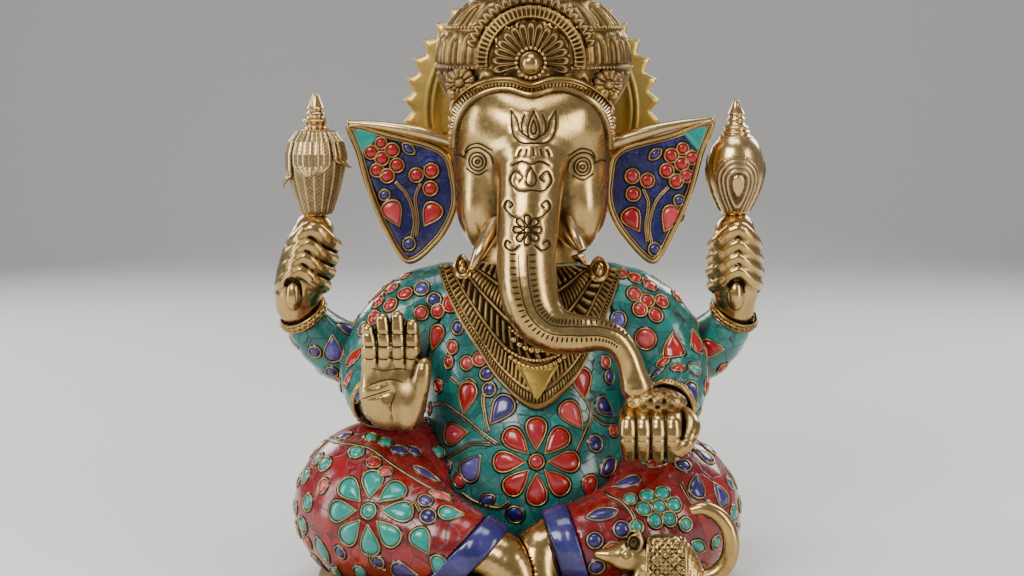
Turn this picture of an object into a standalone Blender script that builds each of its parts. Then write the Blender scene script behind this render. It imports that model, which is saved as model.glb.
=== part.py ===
"""Seated elephant-headed prayer statue, brass castings under a stone mosaic.

Metres, +Z up, the statue faces -Y and rests on z = 0.  Every number below is in
millimetres in that frame and is turned into metres when a mesh is made.
"""
import math
import bpy
import bmesh
import numpy as np
from mathutils import Matrix, Vector

MM = 0.001
GAP = 0.3            # clear space between neighbouring pieces
SKIN = 1.2           # thickness of the stone mosaic
WALL = 3.0           # wall of the hollow castings
BASE = 3.0           # thickness of the base plate
FLOOR = BASE + GAP   # height where everything on the plate begins
CORE = SKIN + GAP    # depth of the castings under the finished surface

HALO_CENTRE = (4.5, 253.0)
HALO_TEETH = 38
HALO_BACK = 41.0
HALO_THICK = 3.0

# torso rings: height, centre x, centre y, half width, half depth
TORSO = [(-8, 5, 2, 40, 32), (2, 5, 0, 49, 42), (20, 5, -6, 57, 53), (42, 5, -8, 61, 59),
         (62, 5, -8, 62, 60), (84, 4, -7, 59, 56), (105, 3, -5, 57, 50), (126, 2, -2, 58, 46),
         (144, 2, -2, 55, 43), (158, 2, -2, 46, 36), (169, 3, -3, 34, 28), (178, 3, -4, 27, 24),
         (190, 3, -6, 24, 22), (202, 3, -8, 22, 20)]

# limbs: x, y, z, radius along the middle line
ARM_FRONT_R = [(-22, -2, 150, 15), (-44, -4, 151, 20), (-67, -8, 137, 22.5), (-82, -15, 116, 19),
               (-82, -34, 105, 16.5), (-76, -56, 101, 12.5), (-70, -72, 102, 11)]
ARM_FRONT_L = [(26, -2, 150, 15), (48, -4, 151, 20), (70, -8, 137, 22.5), (82, -16, 116, 19),
               (82, -36, 103, 16.5), (74, -60, 98, 12.5), (68, -76, 98, 11)]
ARM_REAR_R = [(-24, 16, 134, 13), (-46, 20, 130, 17), (-74, 22, 120, 18.5), (-99, 20, 116, 18),
              (-117, 13, 130, 14.5), (-124, 6, 144, 11), (-122, 3, 156, 10)]
ARM_REAR_L = [(28, 16, 134, 13), (50, 20, 130, 17), (77, 22, 120, 18.5), (97, 20, 117, 18),
              (112, 13, 130, 14.5), (118, 6, 144, 11), (117, 3, 156, 10)]
LEG_R = [(-36, 8, 46, 36), (-60, -16, 45, 41), (-82, -41, 43, 43), (-64, -68, 35, 33),
         (-40, -84, 31, 24), (-22, -92, 28, 18)]
LEG_L = [(42, 8, 44, 36), (62, -16, 42, 39), (78, -38, 38.5, 40), (60, -66, 33, 31),
         (35, -80, 31, 24), (14, -86, 30, 18)]
TRUNK = [(4, -40, 242, 21), (3.5, -52, 227, 18.4), (2, -61, 205, 16.8), (1, -70, 185, 15.7),
         (1.5, -76, 168, 15.4), (5, -80, 154, 14.3), (13, -83, 145.5, 12.6), (25, -84, 142.5, 10.6),
         (38, -84, 142.3, 8.6), (47, -84, 139, 7.4), (53, -84, 131, 6.9), (56, -84, 122, 7.2),
         (58, -84, 115, 8.6)]
HEAD_BALLS = [((4, -10, 236), (43, 42, 42)), ((-13, -28, 250), (22, 24, 22)),
              ((21, -28, 250), (22, 24, 22)), ((-21, -26, 207), (16, 21, 27)),
              ((29, -26, 207), (16, 21, 27))]
CROWN = ((5, -4, 282), (54, 44, 42.5))
EAR_R = [(-96, 247), (-70, 241), (-36, 234), (-30, 215), (-33, 196), (-50, 181), (-66, 172), (-80, 197)]
EAR_L = [(103, 249), (77, 240), (44, 233), (38, 215), (41, 194), (54, 180), (66, 169), (86, 198)]
FLOWER = (6.4, 71.6)     # middle of the belly flower, x and height
PETALS = 8

for item in list(bpy.data.objects):
    bpy.data.objects.remove(item, do_unlink=True)
PARTS = bpy.data.collections.new("ganesha_idol")
BENCH = bpy.data.collections.new("bench")
bpy.context.scene.collection.children.link(PARTS)
bpy.context.scene.collection.children.link(BENCH)


def material(name, colour, metallic, roughness):
    """A plain Principled material."""
    mat = bpy.data.materials.new(name)
    mat.use_nodes = True
    shader = mat.node_tree.nodes["Principled BSDF"]
    shader.inputs["Base Color"].default_value = (*colour, 1.0)
    shader.inputs["Metallic"].default_value = metallic
    shader.inputs["Roughness"].default_value = roughness
    return mat


BRASS = ("brass", (0.72, 0.50, 0.20), 1.0, 0.25)
TURQUOISE = ("turquoise_chips", (0.10, 0.50, 0.45), 0.0, 0.30)
CORAL = ("coral_chips", (0.62, 0.07, 0.05), 0.0, 0.30)
LAPIS = ("lapis_stone", (0.03, 0.05, 0.32), 0.0, 0.28)
IVORY = ("pale_tusk", (0.75, 0.65, 0.45), 0.6, 0.30)


# ---------------------------------------------------------------- bench tools
def bench(mesh):
    """Put a mesh on the bench as a working object."""
    item = bpy.data.objects.new("work", mesh)
    BENCH.objects.link(item)
    return item


def shaped(item, *steps):
    """Run modifiers on a bench object and return a new bench object with the result."""
    for kind, settings in steps:
        mod = item.modifiers.new(kind.lower(), kind)
        for key, value in settings.items():
            setattr(mod, key, value)
    bpy.context.view_layer.update()
    graph = bpy.context.evaluated_depsgraph_get()
    mesh = bpy.data.meshes.new_from_object(item.evaluated_get(graph))
    item.modifiers.clear()
    return bench(mesh)


def from_bm(bm, split=False, weld=0.002):
    """Weld a bmesh, face it outward and put it on the bench, split into triangles if asked."""
    bmesh.ops.remove_doubles(bm, verts=bm.verts, dist=weld * MM)
    bmesh.ops.recalc_face_normals(bm, faces=bm.faces)
    if split:
        bmesh.ops.triangulate(bm, faces=bm.faces)
    mesh = bpy.data.meshes.new("work")
    bm.to_mesh(mesh)
    bm.free()
    return bench(mesh)


def joined(item, tool, kind):
    return shaped(item, ("BOOLEAN", {"object": tool, "operation": kind, "solver": "EXACT"}))


def cut(item, *tools):
    for tool in tools:
        item = joined(item, tool, "DIFFERENCE")
    return item


def keep(item, tool):
    return joined(item, tool, "INTERSECT")


def grown(item, by):
    """The form moved out (or in, when negative) along its normals."""
    return shaped(item, ("DISPLACE", {"strength": by * MM, "mid_level": 0.0}))


def shell(item, low, high):
    """The layer between two offsets of a form."""
    return shaped(grown(item, high), ("SOLIDIFY", {"thickness": (high - low) * MM, "offset": -1.0,
                                                   "use_even_offset": False}))


def ball(centre, radii, segments=32, rings=20):
    bm = bmesh.new()
    place = Matrix.Translation(Vector(centre) * MM) @ Matrix.Diagonal(Vector((*radii, 1.0)))
    bmesh.ops.create_uvsphere(bm, u_segments=segments, v_segments=rings, radius=MM, matrix=place)
    return from_bm(bm)


def box(low, high):
    bm = bmesh.new()
    low, high = Vector(low) * MM, Vector(high) * MM
    place = Matrix.Translation((low + high) / 2) @ Matrix.Diagonal(Vector((*(high - low), 1.0)))
    bmesh.ops.create_cube(bm, size=1.0, matrix=place)
    return from_bm(bm)


def slab(point, normal, length, half=70.0):
    """A block lying on a plane: it starts at the point and runs along the normal."""
    normal = Vector(normal).normalized()
    turn = normal.to_track_quat("Z", "Y").to_matrix().to_4x4()
    middle = Vector(point) + normal * (length / 2)
    bm = bmesh.new()
    size = Matrix.Diagonal(Vector((2 * half, 2 * half, length, 1.0)))
    bmesh.ops.create_cube(bm, size=MM, matrix=Matrix.Translation(middle * MM) @ turn @ size)
    return from_bm(bm)


def rod(start, end, radius, segments=24, radius_end=None):
    start, end = Vector(start), Vector(end)
    turn = (end - start).to_track_quat("Z", "Y").to_matrix().to_4x4()
    bm = bmesh.new()
    bmesh.ops.create_cone(bm, cap_ends=True, segments=segments, radius1=radius * MM,
                          radius2=(radius if radius_end is None else radius_end) * MM,
                          depth=(end - start).length * MM,
                          matrix=Matrix.Translation((start + end) / 2 * MM) @ turn)
    return from_bm(bm)


def smooth_path(points, samples):
    """Points on a smooth line through the given ones (all their columns)."""
    p = np.array(points, float)
    p = np.vstack([2 * p[0] - p[1], p, 2 * p[-1] - p[-2]])
    t = np.linspace(0, len(p) - 3, samples)
    i = np.minimum(t.astype(int), len(p) - 4)
    f = (t - i)[:, None]
    a, b, c, d = p[i], p[i + 1], p[i + 2], p[i + 3]
    return 0.5 * (2 * b + (c - a) * f + (2 * a - 5 * b + 4 * c - d) * f ** 2
                  + (3 * b - a - 3 * c + d) * f ** 3)


def tube(path, inset=0.0, sides=2, closed=False):
    """A bevelled curve with filled ends through x, y, z, radius points."""
    curve = bpy.data.curves.new("work", "CURVE")
    curve.dimensions = "3D"
    curve.bevel_depth = MM
    curve.bevel_resolution = sides
    curve.use_fill_caps = not closed
    line = curve.splines.new("POLY")
    line.points.add(len(path) - 1)
    line.use_cyclic_u = closed
    for spot, (x, y, z, radius) in zip(line.points, path):
        spot.co = (x * MM, y * MM, z * MM, 1.0)
        spot.radius = radius - inset
    item = bpy.data.objects.new("work", curve)
    BENCH.objects.link(item)
    bm = bmesh.new()
    bpy.context.view_layer.update()
    graph = bpy.context.evaluated_depsgraph_get()
    bm.from_mesh(bpy.data.meshes.new_from_object(item.evaluated_get(graph)))
    return from_bm(bm, split=True)


def lathe(profile, centre, segments=14):
    """A profile of radius, height pairs, top to bottom, turned about an upright line."""
    bm = bmesh.new()
    spots = [bm.verts.new((r * MM, 0, z * MM)) for r, z in profile]
    for a, b in zip(spots[:-1], spots[1:]):
        bm.edges.new((a, b))
    mesh = bpy.data.meshes.new("work")
    bm.to_mesh(mesh)
    bm.free()
    turned = shaped(bench(mesh), ("SCREW", {"steps": segments, "render_steps": segments,
                                            "use_merge_vertices": True, "merge_threshold": 1e-5}))
    bm = bmesh.new()
    bm.from_mesh(turned.data)
    bmesh.ops.translate(bm, verts=bm.verts, vec=(centre[0] * MM, centre[1] * MM, 0))
    return from_bm(bm)


def clay(balls, chains, voxel, triangles, smooth=6):
    """Balls and tapering chains pressed together into one smooth form."""
    bm = bmesh.new()
    for centre, radii in balls:
        place = Matrix.Translation(Vector(centre) * MM) @ Matrix.Diagonal(Vector((*radii, 1.0)))
        bmesh.ops.create_uvsphere(bm, u_segments=40, v_segments=24, radius=MM, matrix=place)
    for points, samples in chains:
        for x, y, z, radius in smooth_path(points, samples):
            bmesh.ops.create_icosphere(bm, subdivisions=3, radius=radius * MM,
                                       matrix=Matrix.Translation(Vector((x, y, z)) * MM))
    mesh = bpy.data.meshes.new("work")
    bm.to_mesh(mesh)
    bm.free()
    raw = shaped(bench(mesh), ("REMESH", {"mode": "VOXEL", "voxel_size": voxel * MM}),
                 ("SMOOTH", {"iterations": smooth, "factor": 0.5}),
                 ("TRIANGULATE", {}))
    ratio = min(1.0, triangles / len(raw.data.polygons))
    return shaped(raw, ("DECIMATE", {"ratio": ratio}))


def outline(points, low, high):
    """A flat outline of x, z points stood up and drawn out along y."""
    bm = bmesh.new()
    bm.faces.new([bm.verts.new((x * MM, low * MM, z * MM)) for x, z in points])
    spun = bmesh.ops.extrude_face_region(bm, geom=list(bm.faces))
    moved = [g for g in spun["geom"] if isinstance(g, bmesh.types.BMVert)]
    bmesh.ops.translate(bm, verts=moved, vec=(0, (high - low) * MM, 0))
    return from_bm(bm)


def ring_points(cx, cz, radius, count):
    return [(cx + radius * math.cos(2 * math.pi * i / count),
             cz + radius * math.sin(2 * math.pi * i / count)) for i in range(count)]


def inset(points, by):
    """An outline moved inward by a distance, corner by corner."""
    p = np.array(points, float)
    area = np.sum(p[:, 0] * np.roll(p[:, 1], -1) - np.roll(p[:, 0], -1) * p[:, 1])
    side = 1.0 if area > 0 else -1.0
    ahead = np.roll(p, -1, 0) - p
    ahead /= np.linalg.norm(ahead, axis=1)[:, None]
    normal = np.stack([-ahead[:, 1], ahead[:, 0]], 1) * side
    before = np.roll(normal, 1, 0)
    push = (normal + before) / (1.0 + np.sum(normal * before, 1))[:, None]
    return [tuple(q) for q in p + push * by]


def rounded(points, per=5):
    """A closed outline with soft corners."""
    p = np.array(points, float)
    n = len(p)
    t = np.arange(n * per) / per
    i = t.astype(int)
    f = (t - i)[:, None]
    a, b, c, d = p[(i - 1) % n], p[i % n], p[(i + 1) % n], p[(i + 2) % n]
    q = 0.5 * (2 * b + (c - a) * f + (2 * a - 5 * b + 4 * c - d) * f ** 2
               + (3 * b - a - 3 * c + d) * f ** 3)
    return [tuple(x) for x in q]


def part(name, item, look, bevel=0.0):
    """Hand a finished bench object over as a named part with its own material."""
    if bevel:
        item = shaped(item, ("BEVEL", {"width": bevel * MM, "segments": 1, "limit_method": "ANGLE",
                                       "angle_limit": math.radians(40)}))
    mesh = item.data.copy()
    mesh.name = name
    out = bpy.data.objects.new(name, mesh)
    mesh.materials.clear()
    mesh.materials.append(material(name + "_look", *look[1:]))
    for face in mesh.polygons:
        face.use_smooth = True
    mesh.set_sharp_from_angle(angle=math.radians(35))
    PARTS.objects.link(out)
    return out


# ---------------------------------------------------------------- the forms
def torso_form():
    """Rings of the torso lofted into one closed form."""
    bm = bmesh.new()
    count = 20
    rings = []
    for z, cx, cy, rx, ry in TORSO:
        rings.append([bm.verts.new(((cx + rx * math.cos(2 * math.pi * i / count)) * MM,
                                    (cy + ry * math.sin(2 * math.pi * i / count)) * MM, z * MM))
                      for i in range(count)])
    for low, high in zip(rings[:-1], rings[1:]):
        for i in range(count):
            j = (i + 1) % count
            bm.faces.new((low[i], low[j], high[j], high[i]))
    bm.faces.new(rings[0])
    bm.faces.new(rings[-1])
    return from_bm(bm, split=True)


torso = torso_form()
torso_clear = grown(torso, GAP)              # room round the finished torso
torso_core_clear = grown(torso, GAP - CORE)  # room round the torso casting
under = box((-200, -200, -60), (200, 200, FLOOR))

leg_r = clay([], [(LEG_R, 26)], 3.0, 260)
leg_l = clay([], [(LEG_L, 26)], 3.0, 260)
head = clay(HEAD_BALLS, [(TRUNK, 70)], 1.8, 640, smooth=8)
crown_form = ball(*CROWN, segments=22, rings=11)
head_clear = grown(head, GAP)

# ---------------------------------------------------------------- base, torso, legs
def base_outline(half_x, half_y, corner, cx, cy):
    spots = []
    for k, (sx, sy) in enumerate(((1, 1), (-1, 1), (-1, -1), (1, -1))):
        for step in range(5):
            turn = math.pi / 2 * (k + step / 4)
            spots.append((cx + sx * (half_x - corner) + corner * math.cos(turn),
                          cy + sy * (half_y - corner) + corner * math.sin(turn)))
    return spots


bm = bmesh.new()
bm.faces.new([bm.verts.new((x * MM, y * MM, 0)) for x, y in base_outline(112, 83.5, 30, -1, -35.5)])
lifted = bmesh.ops.extrude_face_region(bm, geom=list(bm.faces))
bmesh.ops.translate(bm, vec=(0, 0, BASE * MM),
                    verts=[g for g in lifted["geom"] if isinstance(g, bmesh.types.BMVert)])
part("base_plate", from_bm(bm), BRASS, bevel=0.8)

arms = {"arm_front_right": ARM_FRONT_R, "arm_front_left": ARM_FRONT_L,
        "arm_rear_right": ARM_REAR_R, "arm_rear_left": ARM_REAR_L}
arms = {name: smooth_path(points, 14) for name, points in arms.items()}
arm_holes = [tube(path, inset=CORE - GAP) for path in arms.values()]

neck_hole = rod((3, -7, 188), (3, -9, 215), 15)
torso_wall = shell(torso, -CORE - WALL, -CORE)
part("torso_casting", cut(torso_wall, under, neck_hole), BRASS)

petal_shapes = []
for k in range(PETALS):
    turn = 2 * math.pi * k / PETALS
    along = Vector((math.sin(turn), math.cos(turn)))
    across = Vector((along.y, -along.x))
    drop = [(6.2, 0.0), (13.5, 4.2), (18.5, 5.5), (21.8, 3.6), (23.2, 0.0),
            (21.8, -3.6), (18.5, -5.5), (13.5, -4.2)]
    petal_shapes.append([(FLOWER[0] + along.x * a + across.x * b,
                          FLOWER[1] + along.y * a + across.y * b) for a, b in drop])
eye_shape = ring_points(*FLOWER, 4.0, 10)

skin_cutters = [under, neck_hole, box((-40, -40, 172), (50, 40, 230))] + arm_holes
skin_cutters += [outline(inset(shape, -GAP), -90, -30) for shape in petal_shapes + [eye_shape]]
part("torso_mosaic", cut(shell(torso, -SKIN, 0.0), *skin_cutters), TURQUOISE)

stone_bed = shell(torso, -SKIN, 0.9)
for k, shape in enumerate(petal_shapes):
    part("belly_petal_%d" % (k + 1), keep(stone_bed, outline(shape, -90, -30)), CORAL)
part("belly_flower_centre", keep(stone_bed, outline(eye_shape, -90, -30)), CORAL)

cuffs = {"right": (leg_r, (-33, -88, 34), (0.72, -0.10, -0.68)),
         "left": (leg_l, (27, -82, 33), (-0.95, -0.10, -0.28))}
CUFF_WIDE = 13.0
leg_forms = {}
for side, (form, spot, aim) in cuffs.items():
    spot, aim = Vector(spot), Vector(aim).normalized()
    beyond = slab(spot, aim, 80, half=38)
    end = slab(spot + aim * (CUFF_WIDE + 2 * GAP), aim, 80, half=38)
    band = slab(spot + aim * GAP, aim, CUFF_WIDE, half=38 - GAP)
    wall = shell(form, -CORE - WALL, -CORE)
    part("leg_casting_" + side, cut(wall, torso_clear, under, end), BRASS)
    layer = shell(form, -SKIN, 0.0)
    part("leg_mosaic_" + side, cut(layer, torso_clear, under, beyond), CORAL)
    cuff = cut(keep(shell(form, -SKIN, 1.0), band), torso_clear, under)
    part("ankle_cuff_" + side, cuff, LAPIS)
    leg_forms[side] = (grown(form, GAP + 1.0), end)

# ---------------------------------------------------------------- feet
FOOT_R = [(-24, -92, 31, 15), (-10, -98, 25, 14), (-5, -102, 15, 11.5), (-18, -104, 12, 9),
          (-33, -103, 11, 8)]
FOOT_L = [(14, -85, 31, 15), (6, -92, 26, 14.5), (7, -99, 16, 11.5), (9, -103, 11, 8.5)]
feet = {"right": clay([], [(FOOT_R, 18)], 1.6, 200), "left": clay([], [(FOOT_L, 14)], 1.6, 180)}
foot_r_clear = grown(feet["right"], GAP)
for side, other in (("right", "left"), ("left", "right")):
    spot, aim = cuffs[side][1], Vector(cuffs[side][2]).normalized()
    behind = slab(Vector(spot) + aim * (CUFF_WIDE + 3 * GAP), -aim, 60, half=50)
    foot = cut(feet[side], behind, leg_forms[other][0], under, torso_clear)
    if side == "left":
        foot = cut(foot, foot_r_clear)
    part("foot_" + side, foot, BRASS)

# ---------------------------------------------------------------- arms and bangles
BANGLE = {"front": 1.5, "rear": 2.2}
SLEEVE_END = 11          # how many points along the arm its sleeve reaches
arm_ends = {}
sleeves_clear = [tube(path, inset=-GAP) for path in arms.values()]
legs_clear = {"right": grown(leg_r, GAP), "left": grown(leg_l, GAP)}
for name, path in arms.items():
    others = [legs_clear[name.split("_")[2]]]
    if "rear" in name:
        others.append(sleeves_clear[0 if "right" in name else 1])
    core = tube(path, inset=CORE)
    part(name, cut(core, torso_core_clear, *others), BRASS)
    sleeve = cut(tube(path[:SLEEVE_END]), tube(path, inset=SKIN), torso_clear, *others)
    part("sleeve" + name[3:], sleeve, TURQUOISE)
    aim = Vector(path[SLEEVE_END - 1][:3] - path[SLEEVE_END - 2][:3]).normalized()
    thick = BANGLE[name.split("_")[1]]
    spot = Vector(path[SLEEVE_END - 1][:3]) + aim * (thick + 2 * GAP)
    wide = path[SLEEVE_END - 1][3] - CORE + 3 * GAP + thick
    side = aim.orthogonal().normalized()
    up = aim.cross(side)
    hoop = [(*(spot + side * (wide * math.cos(a)) + up * (wide * math.sin(a))), thick)
            for a in np.arange(14) * math.pi / 7]
    part("bangle" + name[3:], tube(hoop, sides=1, closed=True), BRASS)
    arm_ends[name] = (spot + aim * (thick + GAP), aim)


def hand(name, arm, balls, chains, triangles, *tools):
    """A hand that sits over the end of its arm and starts just past the bangle."""
    spot, aim = arm_ends[arm]
    form = clay(balls, chains, 1.5, triangles, smooth=4)
    form = cut(form, slab(spot, -aim, 40, half=24), grown(tube(arms[arm], inset=CORE), GAP), *tools)
    part(name, form, BRASS)
    return form


fingers = [([(x, -75, 120, 4.8), (x, -77.5, 134, 4.5), (x + lean, -77, top, 3.8)], 9)
           for x, lean, top in ((-81, -2, 143), (-73.4, -1.5, 149), (-66, -1, 150), (-58.6, -1, 146))]
thumb = ([(-60, -75, 102, 7), (-56, -79, 113, 5.6), (-54, -80, 123, 4.6)], 9)
hand("hand_open", "arm_front_right", [((-70, -75, 110), (16.5, 8.5, 20))], fingers + [thumb], 340)

fingers = [([(x, -88, 100, 4.8), (x - 0.5, -96, 96, 5), (x - 0.5, -96, 87, 4.7), (x, -91, 79.5, 4.3)], 9)
           for x in (53, 61, 69, 77)]
thumb = ([(82, -82, 99, 5), (84, -90, 95, 5), (82, -96, 88, 4.4)], 9)
fist = hand("hand_fist", "arm_front_left", [((67, -84, 93), (18, 13, 11))], fingers + [thumb], 340)

rods = {"right": (-115.0, 2.0), "left": (117.0, 2.0)}
PEG = 4.0
for side, lean in (("right", -13.0), ("left", 1.0)):
    cx = rods[side][0]
    grip = []
    for k in range(4):
        z = 157 + 9 * k
        x = cx + lean * (194 - z) / 45
        grip.append(([(x - 12, -2, z - 2, 4.4), (x - 6, -9, z + 1, 4.8), (x, -11.5, z + 3, 4.8),
                      (x + 6, -9, z + 1, 4.8), (x + 12, -2, z - 2, 4.4)], 11))
    heel = ([(cx + lean * 1.2, 4, 146, 10), (cx + lean * 0.7, 3, 162, 13), (cx + lean * 0.2, 2, 180, 13)], 9)
    hand("hand_rear_" + side, "arm_rear_" + side, [], grip + [heel], 300,
         rod((cx, 2, 179.7), (cx, 2, 215), PEG + GAP))

# ---------------------------------------------------------------- held pieces
BUD_R = [(0, 264.4), (3.0, 259), (5.4, 256), (4.8, 253), (7.2, 250), (5.6, 246), (13.5, 238),
         (18, 226), (16, 216), (9.5, 204), (6.5, 197.5), (PEG, 197.5), (PEG, 180), (0, 180)]
BUD_L = [(0, 261), (3.4, 254), (5.4, 251), (4.8, 248), (7.0, 245), (6.5, 240.5), (13.5, 234),
         (16.3, 224), (14.8, 213), (9.5, 203), (6.5, 198.5), (PEG, 198.5), (PEG, 180), (0, 180)]
part("bud_right", lathe(BUD_R, rods["right"]), BRASS)
part("bud_left", lathe(BUD_L, rods["left"]), BRASS)

sweet = cut(ball((69, -87, 106), (16.5, 9.5, 8), 14, 8), head_clear, grown(fist, GAP),
            sleeves_clear[1])
part("sweet", sweet, BRASS)

# ---------------------------------------------------------------- head, crown, halo
hollow = ball((4, -10, 240), (33, 32, 32), 12, 8)
head_cast = cut(head, hollow, torso_core_clear, rod((3, -9, 195), (3, -9, 222), 12))
part("head_casting", head_cast, BRASS)

crown = cut(crown_form, head_clear, ball((5, -4, 278), (45, 35, 36), 14, 8),
            box((-100, 37.7, 200), (100, 80, 340)),
            rod((3.5, 20, 276), (3.5, 60, 276), 2.8))
part("crown", crown, BRASS)
crown_clear = grown(crown_form, GAP)
band = keep(shell(head, GAP, 3.4), slab((4, -10, 249.5), (0, 0.25, 1), 7.5))
band_room = slab((4, -10, 249.2), (0, 0.25, 1), 8.1)
band = cut(band, crown_clear)
part("headband", band, BRASS)

crown_layer = shell(crown_form, GAP, 3.2)
fan = [(3.3 + r * math.cos(a), 282 + r * math.sin(a))
       for a, r in [(math.pi * (-0.10 + 1.2 * i / 28), 20 + 1.6 * (i % 2)) for i in range(29)]]
part("crown_fan", keep(crown_layer, outline(fan, -70, -12)), BRASS)
arch = [(3.3 + 33 * math.cos(a), 282 + 33 * math.sin(a)) for a in np.radians(np.linspace(8, 172, 13))]
arch += [(3.3 + 23 * math.cos(a), 282 + 23 * math.sin(a)) for a in np.radians(np.linspace(172, 8, 10))]
part("crown_arch", keep(crown_layer, outline(arch, -70, -8)), BRASS)
for side, x, z in (("right", -34, 271), ("left", 44.5, 270)):
    rosette = cut(keep(crown_layer, outline(ring_points(x, z, 8.5, 14), -70, -8)), band_room)
    part("crown_rosette_" + side, rosette, BRASS)
boss = ball((3.3, -49.5, 281.5), (5.2, 5.2, 5.2), 14, 8)
part("crown_boss", cut(boss, grown(crown_form, 3.2 + GAP)), BRASS)
top = [(0, 330), (2.4, 329), (3.6, 326.8), (2.6, 324.8), (6.8, 323.4), (8.6, 321.2), (8.0, 318), (0, 318)]
part("crown_finial", cut(lathe(top, (5, -4), 16), crown_clear), BRASS)

teeth = []
for i in range(HALO_TEETH):
    a = 2 * math.pi * i / HALO_TEETH + math.pi / 2
    for turn, radius in ((0, 73.5), (0.5, 67.8)):
        b = a + turn * 2 * math.pi / HALO_TEETH
        teeth.append((HALO_CENTRE[0] + radius * math.cos(b), HALO_CENTRE[1] + radius * math.sin(b)))
halo = outline(teeth, HALO_BACK - HALO_THICK, HALO_BACK)
part("halo", cut(halo, rod((3.5, 30, 276), (3.5, 60, 276), 2.8)), BRASS)
screw = joined(rod((3.5, 21, 276), (3.5, 43, 276), 2.5, 16),
               rod((3.5, HALO_BACK + GAP, 276), (3.5, HALO_BACK + 3.5, 276), 5.5, 16, 4.5), "UNION")
part("halo_screw", screw, BRASS)

# ---------------------------------------------------------------- ears and tusks
EAR_FRONT, EAR_BACK, RIM = -7.0, -1.0, 4.0
for side, shape in (("right", EAR_R), ("left", EAR_L)):
    full = rounded(shape, 4)
    plate = outline(full, EAR_FRONT, EAR_BACK)
    pocket = outline(inset(rounded(inset(shape, RIM), 4), 0), EAR_FRONT - 5, EAR_FRONT + SKIN + 0.6)
    stone = outline(rounded(inset(shape, RIM + GAP), 4), EAR_FRONT + 0.3, EAR_FRONT + SKIN + 0.3)
    part("ear_casting_" + side, cut(plate, pocket, head_clear), BRASS)
    part("ear_inlay_" + side, cut(stone, head_clear), LAPIS)

TUSK_R = [(-13, -38, 202, 5.2), (-19, -47, 190, 5.0), (-24, -53, 181, 3.8), (-28.5, -55, 172.5, 1.4)]
TUSK_L = [(22, -38, 202, 5.2), (27, -47, 190, 4.6), (31, -51, 182.5, 2.6)]
part("tusk_right", cut(tube(smooth_path(TUSK_R, 8)), head_clear), IVORY)
part("tusk_left", cut(tube(smooth_path(TUSK_L, 6)), head_clear), IVORY)

# ---------------------------------------------------------------- collar and pendant
bib = outline([(6.6, 98.5), (25, 120), (42, 148), (52, 176), (40, 190), (-34, 190), (-49, 172),
               (-36, 150), (-16, 120)], -95, 1)
collar_room = joined(bib, box((-60, 0, 158), (64, 60, 190)), "UNION")
collar = cut(keep(shell(torso, GAP, 2.6), collar_room), head_clear, box((-60, -60, 176), (60, 60, 230)),
             *sleeves_clear)
part("collar", collar, BRASS)
drop = outline([(6.6, 103), (0.5, 109), (-1, 117), (6.6, 124), (14, 117), (12.7, 109)], -95, -20)
part("pendant", keep(shell(torso, 2.6 + GAP, 4.8), drop), BRASS)

# ---------------------------------------------------------------- mouse
MOUSE_Y = -108.0
mouse = clay([((71, MOUSE_Y, 29), (17, 9.5, 14)), ((80, MOUSE_Y, 18), (13, 9.5, 14)),
              ((52, MOUSE_Y, 31), (9.5, 7.5, 8)), ((56, MOUSE_Y - 5, 39), (3.5, 2.6, 5)),
              ((56, MOUSE_Y + 4, 39), (3.5, 2.6, 5))],
             [([(47, MOUSE_Y, 31, 6.5), (39, MOUSE_Y, 31, 3.4), (36.5, MOUSE_Y, 31, 2)], 7),
              ([(62, MOUSE_Y - 3, 24, 7), (57, MOUSE_Y - 3, 14, 4.6), (52, MOUSE_Y - 3, 7, 4.6)], 7),
              ([(84, MOUSE_Y - 2, 10, 7), (72, MOUSE_Y - 4, 6.5, 4.6)], 5)], 1.5, 330, smooth=4)
mouse_clear = grown(mouse, GAP)
part("mouse", cut(mouse, legs_clear["left"], under), BRASS)
tail = tube(smooth_path([(86, MOUSE_Y, 20, 4.6), (97, MOUSE_Y, 21, 4.4), (104, MOUSE_Y, 28, 4.0),
                         (105.5, MOUSE_Y, 39, 3.8), (101, MOUSE_Y, 50, 3.5), (92, MOUSE_Y, 56, 3.2),
                         (85, MOUSE_Y, 55, 2.4)], 18))
part("mouse_tail", cut(tail, mouse_clear, legs_clear["left"]), BRASS)

# ---------------------------------------------------------------- clear the bench
for item in list(BENCH.objects):
    bpy.data.objects.remove(item, do_unlink=True)
bpy.data.collections.remove(BENCH)
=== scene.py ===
# %% [markdown]
# # A seated elephant-headed prayer statue
# The real statue is a set of brass castings.  Its torso, sleeves and legs are covered with
# chips of turquoise and red coral set in dark lac, ground smooth and polished, and on top of
# the chips sit domed stones, each inside a loop of brass wire.  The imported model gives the
# frame.  The pieces are worked out in millimetres until a mesh is made; the floor, lamps and
# camera are in metres.

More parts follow.
